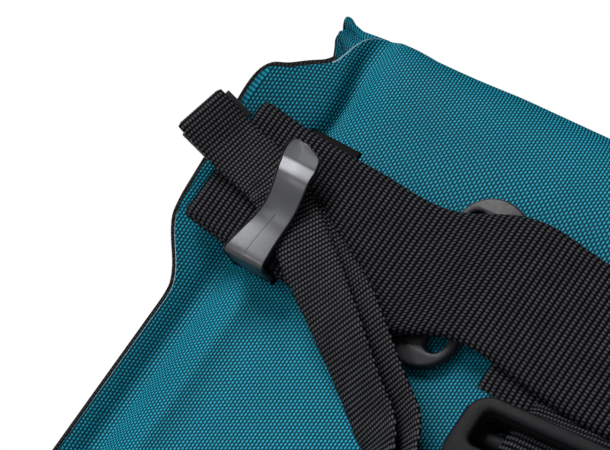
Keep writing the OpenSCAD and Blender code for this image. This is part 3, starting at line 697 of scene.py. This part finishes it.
low_layer = tape_mid - n_dir * LAYER + w_dir * spread * np.sign(w_dir[:, 2:3] + 1e-6) - n_dir * spread * 0.35
turn = [tape_mid[0] + n_dir[0] * LAYER * cos(a) - t_dir[0] * 0.9 * sin(a)
        for a in np.linspace(0.3, pi - 0.3, 7)]
tape_path = np.concatenate([top_layer[::-1], turn, low_layer])
tape_w = np.concatenate([w_dir[::-1], np.repeat(w_dir[:1], len(turn), 0), w_dir])
for side, flip in SIDES:
    strip(f"folded_tape_{side}", tape_path * flip, tape_w * flip, TAPE_W, TAPE_T, TAPE, rib=TAPE_RIB,
          depth_of_rib=0.1, cols=10, per_rib=4, replaces=[f"narrow_strap_{side}"], slot="narrow_webbing")

# ---------- sprung clip ----------

CLIP_S = 1.7  # where the clip sits on the belt, in from the weld
CLIP_T = 0.9
SCORE_HALF, SCORE_LIP, SCORE_DEPTH = 0.1, 0.02, 0.07  # the line scored down the middle of the arm
BELT_DIR = np.array([cos(LEAN), sin(LEAN), 0.0])
CLIP_AT = np.array([CLIP_S - HALF, float(main_e(CLIP_S)), BELT_Z])


def plate_sweep(name, table, thick, material, groove=None, stands_for=None):
    """A sprung plate with a rounded section, swept along table's rows: distance in front of the belt, height,
    width, and the middle's offset along the belt. groove is the stretch of it that has the scored line."""
    table = rounded(table, 2)
    d = np.concatenate([[0], np.cumsum(np.linalg.norm(np.diff(table[:, :2], axis=0), axis=1))])
    at = np.linspace(0, d[-1], int(d[-1] / 0.25))
    table = np.stack([np.interp(at, d, table[:, k]) for k in range(4)], 1)
    table = smooth_path(table, 5)
    t = unit_rows(np.gradient(table[:, :2], axis=0))
    nrm = np.stack([t[:, 1], -t[:, 0]], 1)
    r = min(0.22, thick / 3)
    # One ring of the section: (side, distance in from that side or from the middle, distance in front).
    ring = []
    for sv, sn in ((-1, 1), (1, 1), (1, -1), (-1, -1)):
        for a in ((0, 1), (0.7, 0.7), (1, 0)) if (sv * sn < 0) else ((1, 0), (0.7, 0.7), (0, 1)):
            ring.append((sv, -sv * r * (1 - a[0]), sn * (thick / 2 - r * (1 - a[1]))))
        if (sv, sn) == (-1, 1):
            ring += [(0, x, thick / 2) for x in (-0.5, -0.09, -0.04, 0.0, 0.04, 0.09, 0.5)]
    pts = []
    for i, (pn, pz, w, off) in enumerate(table):
        row = []
        for sv, across, front in ring:
            if groove and sv == 0 and abs(across) < SCORE_HALF and groove[0] < at[i] < groove[1]:
                front -= SCORE_DEPTH if across == 0 else SCORE_LIP
            q = np.array([pn, pz]) + nrm[i] * front
            a = off + sv * w / 2 + across
            row.append(CLIP_AT + BELT_DIR * a + belt_normal * q[0] + UP * q[1])
        pts.append(row)
    pts = np.array(pts)
    rows, cols = pts.shape[:2]
    faces = [list(f) for f in quads(rows, cols, wrap=True)]
    faces += [list(range(cols)), list(range((rows - 1) * cols, rows * cols))[::-1]]
    for side, flip in SIDES:
        make(f"{name}_{side}", to_world(pts * flip), faces, material, body=f"clip_{side}_body",
             angle=40, slot="clip_steel", replaces=[f"{stands_for}_{side}"] if stands_for else ())


# The clip's rows, with heights from its lower end in the first.
LOW = -15.4
arm = np.array([
    [-1.9, 0.1, 8.7, 1.25], [1.4, -0.1, 8.8, 1.3], [3.4, -0.2, 8.8, 1.3], [3.85, 0.1, 8.7, 1.3],
    [3.68, 3.5, 7.7, 1.35], [3.5, 7.0, 6.9, 1.55], [3.65, 9.0, 6.6, 1.75],
    [4.3, 11.4, 6.5, 1.9], [5.5, 14.0, 6.7, 1.8], [6.0, 15.6, 6.9, 1.6],
    [5.95, 16.9, 7.1, 1.2], [5.55, 18.5, 7.5, 0.8], [5.55, 19.1, 7.7, 0.55],
    [5.9, 20.9, 7.5, 0.45], [6.05, 21.7, 5.9, -0.2], [6.15, 22.4, 3.2, -1.1],
]) + [0, LOW, 0, 0]
plate_sweep("clip_arm", arm, CLIP_T, CLIP, groove=(6.4, 15.0), stands_for="clip")
back = np.array([
    [-1.8, LOW + 0.05, 8.6, 1.3], [-3.2, LOW + 0.15, 8.6, 1.2], [-3.5, LOW + 1.0, 8.4, 1.2],
    [-3.5, LOW + 6.0, 8.2, 0.6], [-3.5, 4.0, 8.6, -0.4], [-3.45, 9.5, 10.6, -0.8], [-3.35, 12.2, 11.0, -0.8],
    [-3.25, 12.9, 11.0, -0.8],
])
plate_sweep("clip_back", back, CLIP_T, CLIP_BACK_PAINTED_SHADE)

# ---------- oval slotted plates ----------

PLATE_S = 34.0  # in from the weld
PLATE_LEN, PLATE_W, PLATE_T = 33.4, 13.6, 2.0
SLOT_HALF = 1.8


def on_front(s, z, lift):
    """Frame on the left half of the front sheet: origin, inward axis and outward axis."""
    h = 0.01
    slope = float((depth(s + h, z) - depth(s - h, z)) / (2 * h))
    c = 1 / hypot(1, slope)
    inward = np.array([c, slope * c, 0.0])
    outward = np.array([-slope * c, c, 0.0])
    return np.array([s - HALF, float(depth(s, z)) + SKIN, z]) + outward * lift, inward, outward


def outline_plate(name, contours, thick, frame_of, material, bevel, up=UP, bodies=("root", "root"),
                  stands_for=None, **kw):
    """A moulded plate from flat contours (the first is the outside, the others are holes), with rounded edges."""
    origin, ax, out = frame_of
    curve = bpy.data.curves.new(name, "CURVE")
    curve.dimensions = "2D"
    curve.fill_mode = "BOTH"
    for contour in contours:
        spline = curve.splines.new("POLY")
        spline.points.add(len(contour) - 1)
        for pt, (a, b) in zip(spline.points, contour):
            pt.co = (a, b, 0, 1)
        spline.use_cyclic_u = True
    curve.extrude = max(thick / 2 - bevel, 0.01)
    curve.bevel_depth = bevel
    curve.bevel_resolution = 2
    curve.offset = -bevel
    temp = add_object(name, curve)
    flat = bpy.data.meshes.new_from_object(temp.evaluated_get(bpy.context.evaluated_depsgraph_get()))
    co = np.empty(len(flat.vertices) * 3)
    flat.vertices.foreach_get("co", co)
    co = co.reshape(-1, 3)
    faces = [tuple(poly.vertices) for poly in flat.polygons]
    bpy.data.objects.remove(temp)
    co[:, 2] += thick / 2
    pts = origin + co[:, :1] * ax + co[:, 1:2] * up + co[:, 2:] * out
    return [make(f"{name}_{side}", to_world(pts * flip), faces, material, body=body, weld=1e-6,
                 angle=45, replaces=[f"{stands_for}_{side}"] if stands_for else (), **kw)
            for (side, flip), body in zip(SIDES, bodies)]


def arc(cx, cy, r, a0, a1, n=8):
    return [(cx + r * cos(a), cy + r * sin(a)) for a in np.radians(np.linspace(a0, a1, n))]


def round_box(x0, x1, y0, y1, r, n=5):
    return (arc(x1 - r, y1 - r, r, 0, 90, n) + arc(x0 + r, y1 - r, r, 90, 180, n)
            + arc(x0 + r, y0 + r, r, 180, 270, n) + arc(x1 - r, y0 + r, r, 270, 360, n))


oval = round_box(-PLATE_W / 2, PLATE_W / 2, -PLATE_LEN / 2, PLATE_LEN / 2, PLATE_W / 2 - 0.3, 12)
openings = [round_box(x - SLOT_HALF, x + SLOT_HALF, -13, 13, 1.7)[::-1] for x in (-3.2, 3.2)]
plates = outline_plate("slotted_plate", [oval] + openings, PLATE_T, on_front(PLATE_S, BELT_Z, 0.9), PLATE, 0.5,
                       stands_for="belt_plate", slot="plate_plastic")
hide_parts("plate_rivets")


# ---------- closure straps, buckles and lower straps ----------

STRAP_IN = 65.0  # middle of the closure strap, in from the weld
STRAP_OUT = 1.5  # middle of the strap, in front of the cloth
BUCKLE_TOP = BELT_Z - WEB_W / 2 - 3
LOOP_Z = BOOT_H + 8
BOOT_OUT = 3.0  # outside of the boot, beyond the bag
line_top = float(depth(STRAP_IN, BUCKLE_TOP)) + SKIN + 3.2
line_low = float(depth(STRAP_IN + BOOT_OUT, 0)) + BOOT_OUT + 4.6
LINE_LEN = hypot(line_low - line_top, BUCKLE_TOP - LOOP_Z)
line_up = np.array([0.0, -(line_low - line_top), BUCKLE_TOP - LOOP_Z]) / LINE_LEN
BUCKLE_TURN = radians(32)  # the buckle faces out with the side of the bag
line_out = np.array([-sin(BUCKLE_TURN), cos(BUCKLE_TURN), 0.0])
line_out = line_out - line_up * (line_out @ line_up)
line_out /= np.linalg.norm(line_out)
line_x = np.cross(line_up, line_out)
line_x *= np.sign(line_x[0])
LINE_AT = np.array([STRAP_IN - HALF, line_top, BUCKLE_TOP])


def line_point(x, z, out):
    """A point beside the buckle's line: across it, up it and in front of it."""
    return LINE_AT + line_x * x + line_up * z + line_out * out


def buckle_part(name, contours, out, thick, bodies=("root", "root"), bevel=0.4, **kw):
    outline_plate(name, contours, thick, (LINE_AT + line_out * out, line_x, line_out), PLASTIC, bevel, line_up,
                  bodies=bodies, slot="black_plastic", **kw)


def mirror_x(points):
    return [(-a, b) for a, b in points][::-1]


right_side = (arc(15.5, -4.5, 4.5, 80, 10, 6) + [(20.0, -9.5), (19.6, -12.5), (17.2, -14.5), (16.6, -18.0),
              (17.2, -21.5), (19.4, -23.6), (19.6, -26.0)] + arc(17.4, -27.6, 2.2, 0, -90, 4))
socket_outline = right_side + mirror_x(right_side)
window = round_box(-16.6, 16.6, -9.2, -2.6, 1.4)[::-1]
emboss = round_box(-7.0, 7.0, -25.0, -15.0, 5.0)[::-1]
buckle_part("socket_frame", [socket_outline, window], 1.9, 3.4, bevel=0.45, stands_for="buckle_socket")
buckle_part("socket_front", [socket_outline, window, emboss], 5.2, 1.8, bevel=0.6)
buckle_part("socket_window", [round_box(-7.2, 7.2, -25.2, -14.8, 5.1)], 4.9, 1.2, bevel=0.4)
buckle_part("socket_back", [socket_outline, window], -1.0, 2.6, bevel=0.5)


def rod(name, a, b, r):
    """A round plastic bar between two points of the left side, mirrored to the right, with softened ends."""
    n = 20
    d = (b - a) / np.linalg.norm(b - a)
    p = np.cross(d, [0.3, 0.5, 0.81])
    p /= np.linalg.norm(p)
    q = np.cross(d, p)
    soft = min(0.3, r / 3)
    pts = np.array([[base + d * along + (p * cos(t) + q * sin(t)) * rr
                     for t in np.linspace(0, 2 * pi, n, endpoint=False)]
                    for base, along, rr in ((a, 0, r - soft), (a, soft, r), (b, -soft, r), (b, 0, r - soft))])
    faces = [list(f) for f in quads(4, n, wrap=True)] + [list(range(n)), list(range(3 * n, 4 * n))[::-1]]
    for side, flip in SIDES:
        make(f"{name}_{side}", to_world(pts * flip), faces, PLASTIC, angle=40, slot="black_plastic")


rod("socket_bar", line_point(-17.5, -5.9, 2.4), line_point(17.5, -5.9, 2.4), 1.5)

PLUGS = ("plug_left", "plug_right")
plug_outline = (arc(13.3, -33.2, 2.2, 90, 0, 5) + [(15.5, -37.0)] + arc(12.5, -45.2, 3.0, 0, -90, 6)
                + arc(-12.5, -45.2, 3.0, -90, -180, 6) + [(-15.5, -37.0)] + arc(-13.3, -33.2, 2.2, 180, 90, 5))
plug_slots = [round_box(-13.2, 13.2, z - 1.6, z + 1.6, 1.2)[::-1] for z in (-36.4, -43.0)]
buckle_part("plug_body", [plug_outline] + plug_slots, 0.6, 5.6, PLUGS, bevel=0.9, stands_for="buckle_plug")
prong = [(10.6, -31.2), (14.2, -31.2), (15.4, -26.0), (17.4, -21.0), (17.6, -18.6), (15.8, -16.6), (13.2, -14.6),
         (12.0, -14.8), (13.8, -19.6), (12.2, -25.0)]
for part, shape in (("prong_a", prong[::-1]), ("prong_b", mirror_x(prong[::-1])),
                    ("guide", round_box(-2.0, 2.0, -31.4, -15.0, 1.2))):
    buckle_part(f"plug_{part}", [shape], 2.0, 2.8, PLUGS, bevel=0.5)


def over_roll(s, off):
    """The closure strap's way from its buckle over the roll and down behind it, off in front of the cloth."""
    d, e = float(depth(s, SHOULDER_Z)) + SKIN + off, float(roll_depth(s))
    path = [(float(depth(s, z)) + SKIN + off, z) for z in np.linspace(BUCKLE_TOP + 6, SHOULDER_Z, 5)]
    path += [(e + (d - e) * cos(a) ** 0.8, SHOULDER_Z + (BAG_H - SHOULDER_Z + off) * sin(a) ** 0.8)
             for a in np.radians(np.arange(12, 90, 12))]
    path += [(e, BAG_H + off), (e - 5 - off * 0.3, BAG_H - 3 + off), (e - 8.4 - off * 0.7, ROLL_Z + 1 + off * 0.7),
             (-2.2 - off, BACK_TOP + 2 + off), (-1.8 - off, BACK_TOP - 1), (-1.8 - off, RAIL_Z + 10)]
    return np.array([(s - HALF, a, b) for a, b in path])


start = np.array([line_point(0, -7.2, 3.9), line_point(0, -3.0, 3.4), line_point(0, 1.5, 1.6)])
strap_w = unit_rows(over_roll(STRAP_IN + 6, STRAP_OUT) - over_roll(STRAP_IN - 6, STRAP_OUT))
strap_w = np.concatenate([np.repeat(line_x[None, :], len(start), 0), strap_w])
strap_path = np.concatenate([start, over_roll(STRAP_IN, STRAP_OUT)])
both = rounded(np.concatenate([strap_path, strap_w], 1), 2)
both[:, :3] = raised(both[:, :3])
lower = np.array([line_point(0, z, o) for z, o in (
    (-LINE_LEN - 14, -0.7), (-LINE_LEN, -0.7), (-60, -0.7), (-50, -0.4), (-46.0, 1.4), (-43.0, 2.6), (-40.0, 5.6),
    (-40.6, 7.6), (-44.5, 7.9), (-49.0, 5.4), (-56, 3.2), (-68, 2.6), (-82, 3.6))])
for side, flip in SIDES:
    strip(f"closure_webbing_{side}", both[:, :3] * flip, both[:, 3:] * flip, WEB_W, WEB_T, WEB, cols=12,
          replaces=[f"closure_strap_{side}"], slot="webbing")
    strip(f"lower_webbing_{side}", rounded(lower, 2) * flip, line_x * flip, WEB_W, WEB_T, WEB, cols=10,
          body=f"plug_{side}", replaces=[f"lower_strap_{side}"], slot="webbing")

# ---------- roll, ears and collar ----------

# The roll's end seen from the front: [height, reach past the weld], and its top and bottom: [distance in, height].
EAR = np.array([[270, 4.0], [286, 4.6], [290, 6.2], [293, 7.5], [295, 8.7], [296.2, 8.9], [297.3, 8.0],
                [298.3, 9.1], [299.3, 9.5], [300.4, 8.9], [301.5, 8.0]])
EAR_TOP = np.array([[-9.5, 299.9], [-8.3, 300.2], [-6.7, 299.6], [-5.0, 299.5], [-3.0, 300.3], [-1.0, 301.0],
                    [0.5, 301.2], [4.0, 300.9], [9.0, 299.9], [16.0, 298.3]])
EAR_LOW = np.array([[-9.5, 291.5], [-7.0, 287.5], [-3.0, 282.5], [2.0, 280.0], [10.0, 279.5]])
END_S, END_LEN = 4.0, 13.0  # the closed end of the roll starts here and narrows over this length
ROLL_R = 6.6
SEAM = radians(200)
ring_a = np.linspace(0, 2 * pi, 57)[:-1]
half_rings = [("end", r) for r in np.linspace(1, 0, 24)[:-1]]
half_rings += [("mid", x) for x in np.linspace(END_S - HALF, 0, 90)]
rings = []
for kind, value in half_rings:
    s0 = END_S - value * END_LEN if kind == "end" else HALF + value
    top = float(np.interp(s0, EAR_TOP[:, 0], EAR_TOP[:, 1]))
    low = float(np.interp(s0, EAR_LOW[:, 0], EAR_LOW[:, 1]))
    cz, rz = (top + low) / 2, (top - low) / 2
    e0 = float(roll_depth(max(s0, 0.0)))
    pinch = 1 - 0.78 * float(smooth((3.0 - s0) / 11.0))
    ripple = 0.25 * sin(s0 / 6.0) * sin(s0 / 17.0) if s0 > 12 else 0.0
    row = []
    for a in ring_a:
        lap = ((a - SEAM) % (2 * pi)) / (2 * pi)
        f = 1 - 0.10 * (1 - lap) if s0 > 0 else 1 - 0.10 * (1 - lap) * (1 + s0 / 9.5)
        e = e0 + ROLL_R * pinch * f * cos(a)
        z = cz + rz * (f + ripple * 0.04) * sin(a)
        if kind == "end":
            reach_x = float(np.interp(z, EAR[:, 0], EAR[:, 1]))
            s_here = END_S - value * (END_S + reach_x)
            groove = exp(-((z - 297.0) / 0.8) ** 2) * float(smooth((1.0 - s_here) / 6.0))
            e -= 0.9 * groove * (1 if cos(a) > 0 else -0.6)
            e += 0.8 * float(smooth(-s_here / 8.0)) * sin((z - 290) / 2.6)
        else:
            s_here = s0
        row.append((s_here - HALF, e, z))
    rings.append(row)
rings = np.array(rings)
full = np.concatenate([rings, rings[-2::-1] * MIRROR])
roll_du = np.cumsum(np.concatenate([[0], np.linalg.norm(np.diff(full[:, 0], axis=0), axis=1)]))
roll_dv = np.cumsum(np.concatenate([[0], np.linalg.norm(np.diff(full[40], axis=0), axis=1)]))
n_ring = len(ring_a)
faces = [list(f) for f in quads(len(full), n_ring, wrap=True)]
faces += [list(range(n_ring)), list(range((len(full) - 1) * n_ring, len(full) * n_ring))[::-1]]
make("rolled_top", to_world(raised(full)), faces, TEAL, angle=50, replaces=["roll_top"],
     slot="coated_fabric", uv=np.stack(np.broadcast_arrays(roll_du[:, None], roll_dv[None, :]), -1))

collar_s = merge((20.0, HALF, 90))
ct = np.linspace(0, 1, 14)
ce = np.maximum(roll_depth(collar_s) - 5.6, 0.2)
gather = 0.5 * np.sin(collar_s / 2.3) * np.sin(collar_s / 7.1 + 1)
c_e = -0.4 + (ce + 0.4)[None, :] * ct[:, None]
c_z = (BACK_TOP - 0.4 + 6.6 * ct[:, None] ** 1.3
       + (1.6 + gather[None, :]) * (np.sin(np.pi * ct[:, None])) * smooth(ce / 12)[None, :])
c_x = np.repeat((collar_s - HALF)[None, :], len(ct), 0)
c_pts = np.stack([c_x, c_e, c_z], -1)
c_pts = np.concatenate([c_pts, c_pts[:, -2::-1] * MIRROR], 1)
cu, cv = arc_uv(c_pts)
verts, faces, uv, kinds = slab(to_world(raised(c_pts[::-1])), CLOTH_T * MM, (cu, cv))
make("collar_cloth", verts, faces, None, uv=uv, mats=[TEAL, TEAL, CUT_EDGE],
     face_mats=kinds, replaces=["back_collar"], slot="coated_fabric")

# ---------- base boot ----------

front_s = merge((0.0, 10.0, 24), (10.0, HALF, 60))
front_x = np.concatenate([front_s - HALF, HALF - front_s[-2::-1]])
BOOT_REAR = -(boot_high[1] - BACK_Y)


def boot_ring(inset, z):
    """One level of the boot, inset from its outside."""
    out = BOOT_OUT - inset
    s_in = HALF - abs(front_x)
    e = depth(s_in, 0) + out
    x = front_x * (1 + out / HALF)
    rear = BOOT_REAR + inset
    r = 2.6
    edge = HALF + out
    right = [(edge - r + r * cos(a), rear + r - r * sin(a)) for a in np.radians([0, 22, 45, 68, 90])]
    rear_line = [(v, rear) for v in np.linspace(edge - r - 1, -edge + r + 1, 40)]
    pts = [(a, max(b, rear + r)) for a, b in zip(x, e)] + right + rear_line + [(-a, b) for a, b in right[::-1]]
    return [(a, b, z) for a, b in pts]


# The boot's section, from its foot up, over its lip and down inside: (inset, height).
profile = [(2.4, 0.0), (1.1, 0.25), (0.35, 0.9), (0.0, 2.2), (0.0, 5.2), (0.4, 5.6), (0.4, 6.4), (0.0, 6.8),
           (0.0, 9.0), (0.4, 9.4), (0.4, 10.2), (0.0, 10.6), (0.0, 17.0), (-0.35, 17.4), (-0.6, 18.2),
           (-0.6, 20.8), (-0.3, 21.6), (0.3, 22.0), (1.1, 22.0), (1.7, 21.5), (1.8, 14.0)]
boot_pts = np.array([boot_ring(i, z) for i, z in profile])
rows, cols = boot_pts.shape[:2]
inner_floor = np.array([boot_ring(1.8, 2.0)])
boot_pts = np.concatenate([boot_pts, inner_floor])
faces = [list(f) for f in quads(rows + 1, cols, wrap=True)]
faces += [list(range(cols)), list(range(rows * cols, (rows + 1) * cols))[::-1]]
make("moulded_boot", to_world(boot_pts), faces, BOOT, angle=32, replaces=["base_boot"],
     slot="boot_plastic")

# ---------- handle ----------

HANDLE_HALF, HANDLE_RISE, HANDLE_TOP = 60.0, 15.0, BAG_H - 4
HANDLE_BEHIND = 18
hx = np.linspace(-HANDLE_HALF, HANDLE_HALF, 41)
handle_e = -(REAR_Y + HANDLE_BEHIND - BACK_Y)
arch = np.stack([hx, np.full(41, handle_e), HANDLE_TOP - HANDLE_RISE * (hx / HANDLE_HALF) ** 2], 1)
foot = HANDLE_TOP - HANDLE_RISE
ends = np.array([[-HANDLE_HALF - 1.0, handle_e, foot - z] for z in (4, 1.2)])
handle_path = np.concatenate([ends, arch, ends[::-1] * MIRROR])
E_DIR = np.array([0.0, 1.0, 0.0])
strip("handle_webbing", rounded(handle_path, 1), E_DIR, 18.0, WEB_T, WEB, body="handle", replaces=["pull_handle"],
      slot="webbing")
strip("handle_sleeve", arch[10:31], E_DIR, 21.5, 4.8, RUBBER, rib=3.2, depth_of_rib=0.45, cols=16, per_rib=12,
      edge_part=0.22, body="handle", replaces=["handle_grip"], slot="grip_rubber")

# ---------- carried-over hard parts, with softened edges ----------


def soften_edges(node, material, width=0.25, segments=2):
    """A copy of a hard CAD node with rounded edges, which stands for it."""
    src = frame["nodes"][node]
    bm = bmesh.new()
    bm.from_mesh(src.data)
    bmesh.ops.remove_doubles(bm, verts=bm.verts, dist=2e-6)
    bmesh.ops.dissolve_limit(bm, angle_limit=radians(3), verts=bm.verts, edges=bm.edges)
    sharp = [e for e in bm.edges if len(e.link_faces) == 2 and e.calc_face_angle(0) > radians(30)]
    bmesh.ops.bevel(bm, geom=sharp, offset=width * MM, segments=segments, profile=0.6, affect="EDGES",
                    clamp_overlap=True)
    bmesh.ops.recalc_face_normals(bm, faces=bm.faces)
    mesh = bpy.data.meshes.new(f"{node}_shown")
    bm.to_mesh(mesh)
    bm.free()
    mesh.materials.clear()
    mesh.materials.append(material)
    mesh.polygons.foreach_set("use_smooth", [True] * len(mesh.polygons))
    mesh.polygons.foreach_set("material_index", [0] * len(mesh.polygons))
    mesh.set_sharp_from_angle(angle=radians(35))
    ob = add_object(f"{node}_shown", mesh)
    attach(ob, src["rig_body"])
    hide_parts(node)


HARD = {
    "hook_rail": (ALLOY, 0.25), "lower_rail": (ALLOY, 0.25), "rail_end_caps": (PLASTIC, 0.5),
    "hook_left": (PLASTIC, 0.45), "hook_right": (PLASTIC, 0.45), "hook_insert_left": (LATCH, 0.25),
    "hook_insert_right": (LATCH, 0.25), "latch_left": (LATCH, 0.4), "latch_right": (LATCH, 0.4),
    "lower_carriage": (PLASTIC, 0.3), "lower_hook": (PLASTIC, 0.5), "strap_loops": (PLASTIC, 0.8),
    "strap_anchor": (PLASTIC, 0.5), "strap_end_left": (PLATE, 0.2), "strap_end_right": (PLATE, 0.2),
    "rail_screws": (STEEL, 0.3), "lower_rail_screws": (STEEL, 0.3), "boot_rivets": (STEEL, 0.5),
    "lower_hook_screw": (STEEL, 0.4), "anchor_rivets": (STEEL, 0.15),
}
for node_name, (material, width) in HARD.items():
    soften_edges(node_name, material, width)
KEPT = {"roll_strip": BOARD, "stiffener_board": BOARD, "rail_washers": STEEL, "latch_pin_left": STEEL,
        "latch_pin_right": STEEL}
for node_name, material in KEPT.items():
    data = frame["nodes"][node_name].data
    data.materials.clear()
    data.materials.append(material)

# ---------- what the cloth was cut to ----------

SHEETS = [
    # piece, flat width and length (m), how it is held, what it lies on, flat area (m2) where it isn't a rectangle
    ("front_sheet", 0.330, 0.301, "stretched", ["rear_panel", "moulded_boot"], 0.0937),
    ("rear_panel", 0.274, 0.291, "stretched", ["front_sheet"], 0.0724),
    ("collar_cloth", 0.200, 0.018, "stretched", ["rolled_top"], None),
    ("wide_belt", 0.025, 0.358, "stretched", ["slotted_plate_left", "slotted_plate_right"], None),
    ("inner_layer", 0.025, 0.162, "stretched", ["wide_belt"], None),
    ("handle_webbing", 0.018, 0.133, "stretched", ["handle_sleeve"], None),
]
for side in ("left", "right"):
    SHEETS += [
        (f"folded_tape_{side}", 0.0101, 0.223, "folded", ["wide_belt"], None),
        (f"closure_webbing_{side}", 0.025, 0.123, "stretched", ["rolled_top"], None),
        (f"lower_webbing_{side}", 0.025, 0.241, "stretched", ["moulded_boot"], None),
    ]

# ---------- camera, light and floor ----------

VIEW_UP = -13.0  # height angle of the camera: it looks up at the bag a little
ROLL = 35.3  # degrees that the camera is rolled
TARGET = Vector((-113.5, BACK_Y - 5.0, BELT_Z - 2.3)) * MM
DISTANCE = 0.47
FRAME_MM = 107.0  # width of the picture at the target


def place_camera():
    cam_data = bpy.data.cameras.new("camera")
    cam = add_object("camera", cam_data)
    e = radians(VIEW_UP)
    look = Vector((0, cos(e), -sin(e)))
    right = Vector((1, 0, 0))
    up = right.cross(look)
    a = radians(ROLL)
    cam_right = right * cos(a) + up * sin(a)
    cam_up = up * cos(a) - right * sin(a)
    cam.matrix_world = Matrix((
        (cam_right.x, cam_up.x, -look.x, 0), (cam_right.y, cam_up.y, -look.y, 0),
        (cam_right.z, cam_up.z, -look.z, 0), (0, 0, 0, 1)))
    cam.location = TARGET - look * DISTANCE
    cam_data.sensor_width = 36
    cam_data.lens = 36 * DISTANCE / (FRAME_MM * MM)
    cam_data.clip_start = 0.02
    bpy.context.scene.camera = cam


def area(name, at, size, power):
    data = bpy.data.lights.new(name, "AREA")
    data.shape = "RECTANGLE"
    data.size, data.size_y = size
    data.energy = power
    ob = add_object(name, data)
    ob.location = Vector(at)
    ob.rotation_euler = (TARGET - Vector(at)).to_track_quat("-Z", "Y").to_euler()
    ob.visible_camera = False


place_camera()
area("key", (-1.04, -0.36, 0.86), (0.45, 0.55), 17.0)
area("low", (-0.97, -0.58, 0.19), (0.12, 0.2), 1.9)
area("fill", (0.55, -1.2, 0.35), (0.9, 0.9), 1.0)
area("rear", (-0.3, 1.4, 0.4), (1.2, 1.0), 20.0)
area("side", (1.35, 0.0, 0.55), (0.8, 0.8), 14.0)

# White where the camera looks past the floor, and a faint cool fill for everything else.
world = bpy.data.worlds.new("world")
bpy.context.scene.world = world
world.use_nodes = True
tree = world.node_tree
shown = tree.nodes["Background"]
shown.inputs["Color"].default_value = (1, 1, 1, 1)
ambient = tree.nodes.new("ShaderNodeBackground")
ambient.inputs["Color"].default_value = (0.93, 0.96, 1, 1)
ambient.inputs["Strength"].default_value = 0.05
ray = tree.nodes.new("ShaderNodeLightPath")
mix = tree.nodes.new("ShaderNodeMixShader")
tree.links.new(ray.outputs["Is Camera Ray"], mix.inputs[0])
tree.links.new(ambient.outputs[0], mix.inputs[1])
tree.links.new(shown.outputs[0], mix.inputs[2])
tree.links.new(mix.outputs[0], tree.nodes["World Output"].inputs["Surface"])
bpy.context.scene.view_settings.view_transform = "Standard"

FLOOR_REACH = 3.0
floor_mesh = bpy.data.meshes.new("floor")
floor_mesh.from_pydata([(x * FLOOR_REACH, y * FLOOR_REACH, 0) for x, y in ((-1, -1), (1, -1), (1, 1), (-1, 1))],
                       [], [(0, 1, 2, 3)])
floor = add_object("floor", floor_mesh)
floor_mat = Nodes("floor_pale", Roughness=0.8)
away = floor_mat.node("ShaderNodeVectorMath", operation="LENGTH")
floor_mat.put(floor_mat.position(), away.inputs[0])
floor_glow = floor_mat.math("MULTIPLY", floor_mat.node("ShaderNodeLightPath").outputs["Is Camera Ray"],
                            floor_mat.span(away.outputs["Value"], 0.25, 1.3, 0.38, 0.98))
floor_mat.put(floor_glow, floor_mat.bsdf.inputs["Emission Strength"])
floor_mat.bsdf.inputs["Emission Color"].default_value = (1, 1, 1, 1)
floor_mesh.materials.append(floor_mat.finish(floor_mat.blend(floor_mat.noise(3.0), (0.80, 0.80, 0.80),
                                                             (0.84, 0.84, 0.84))))
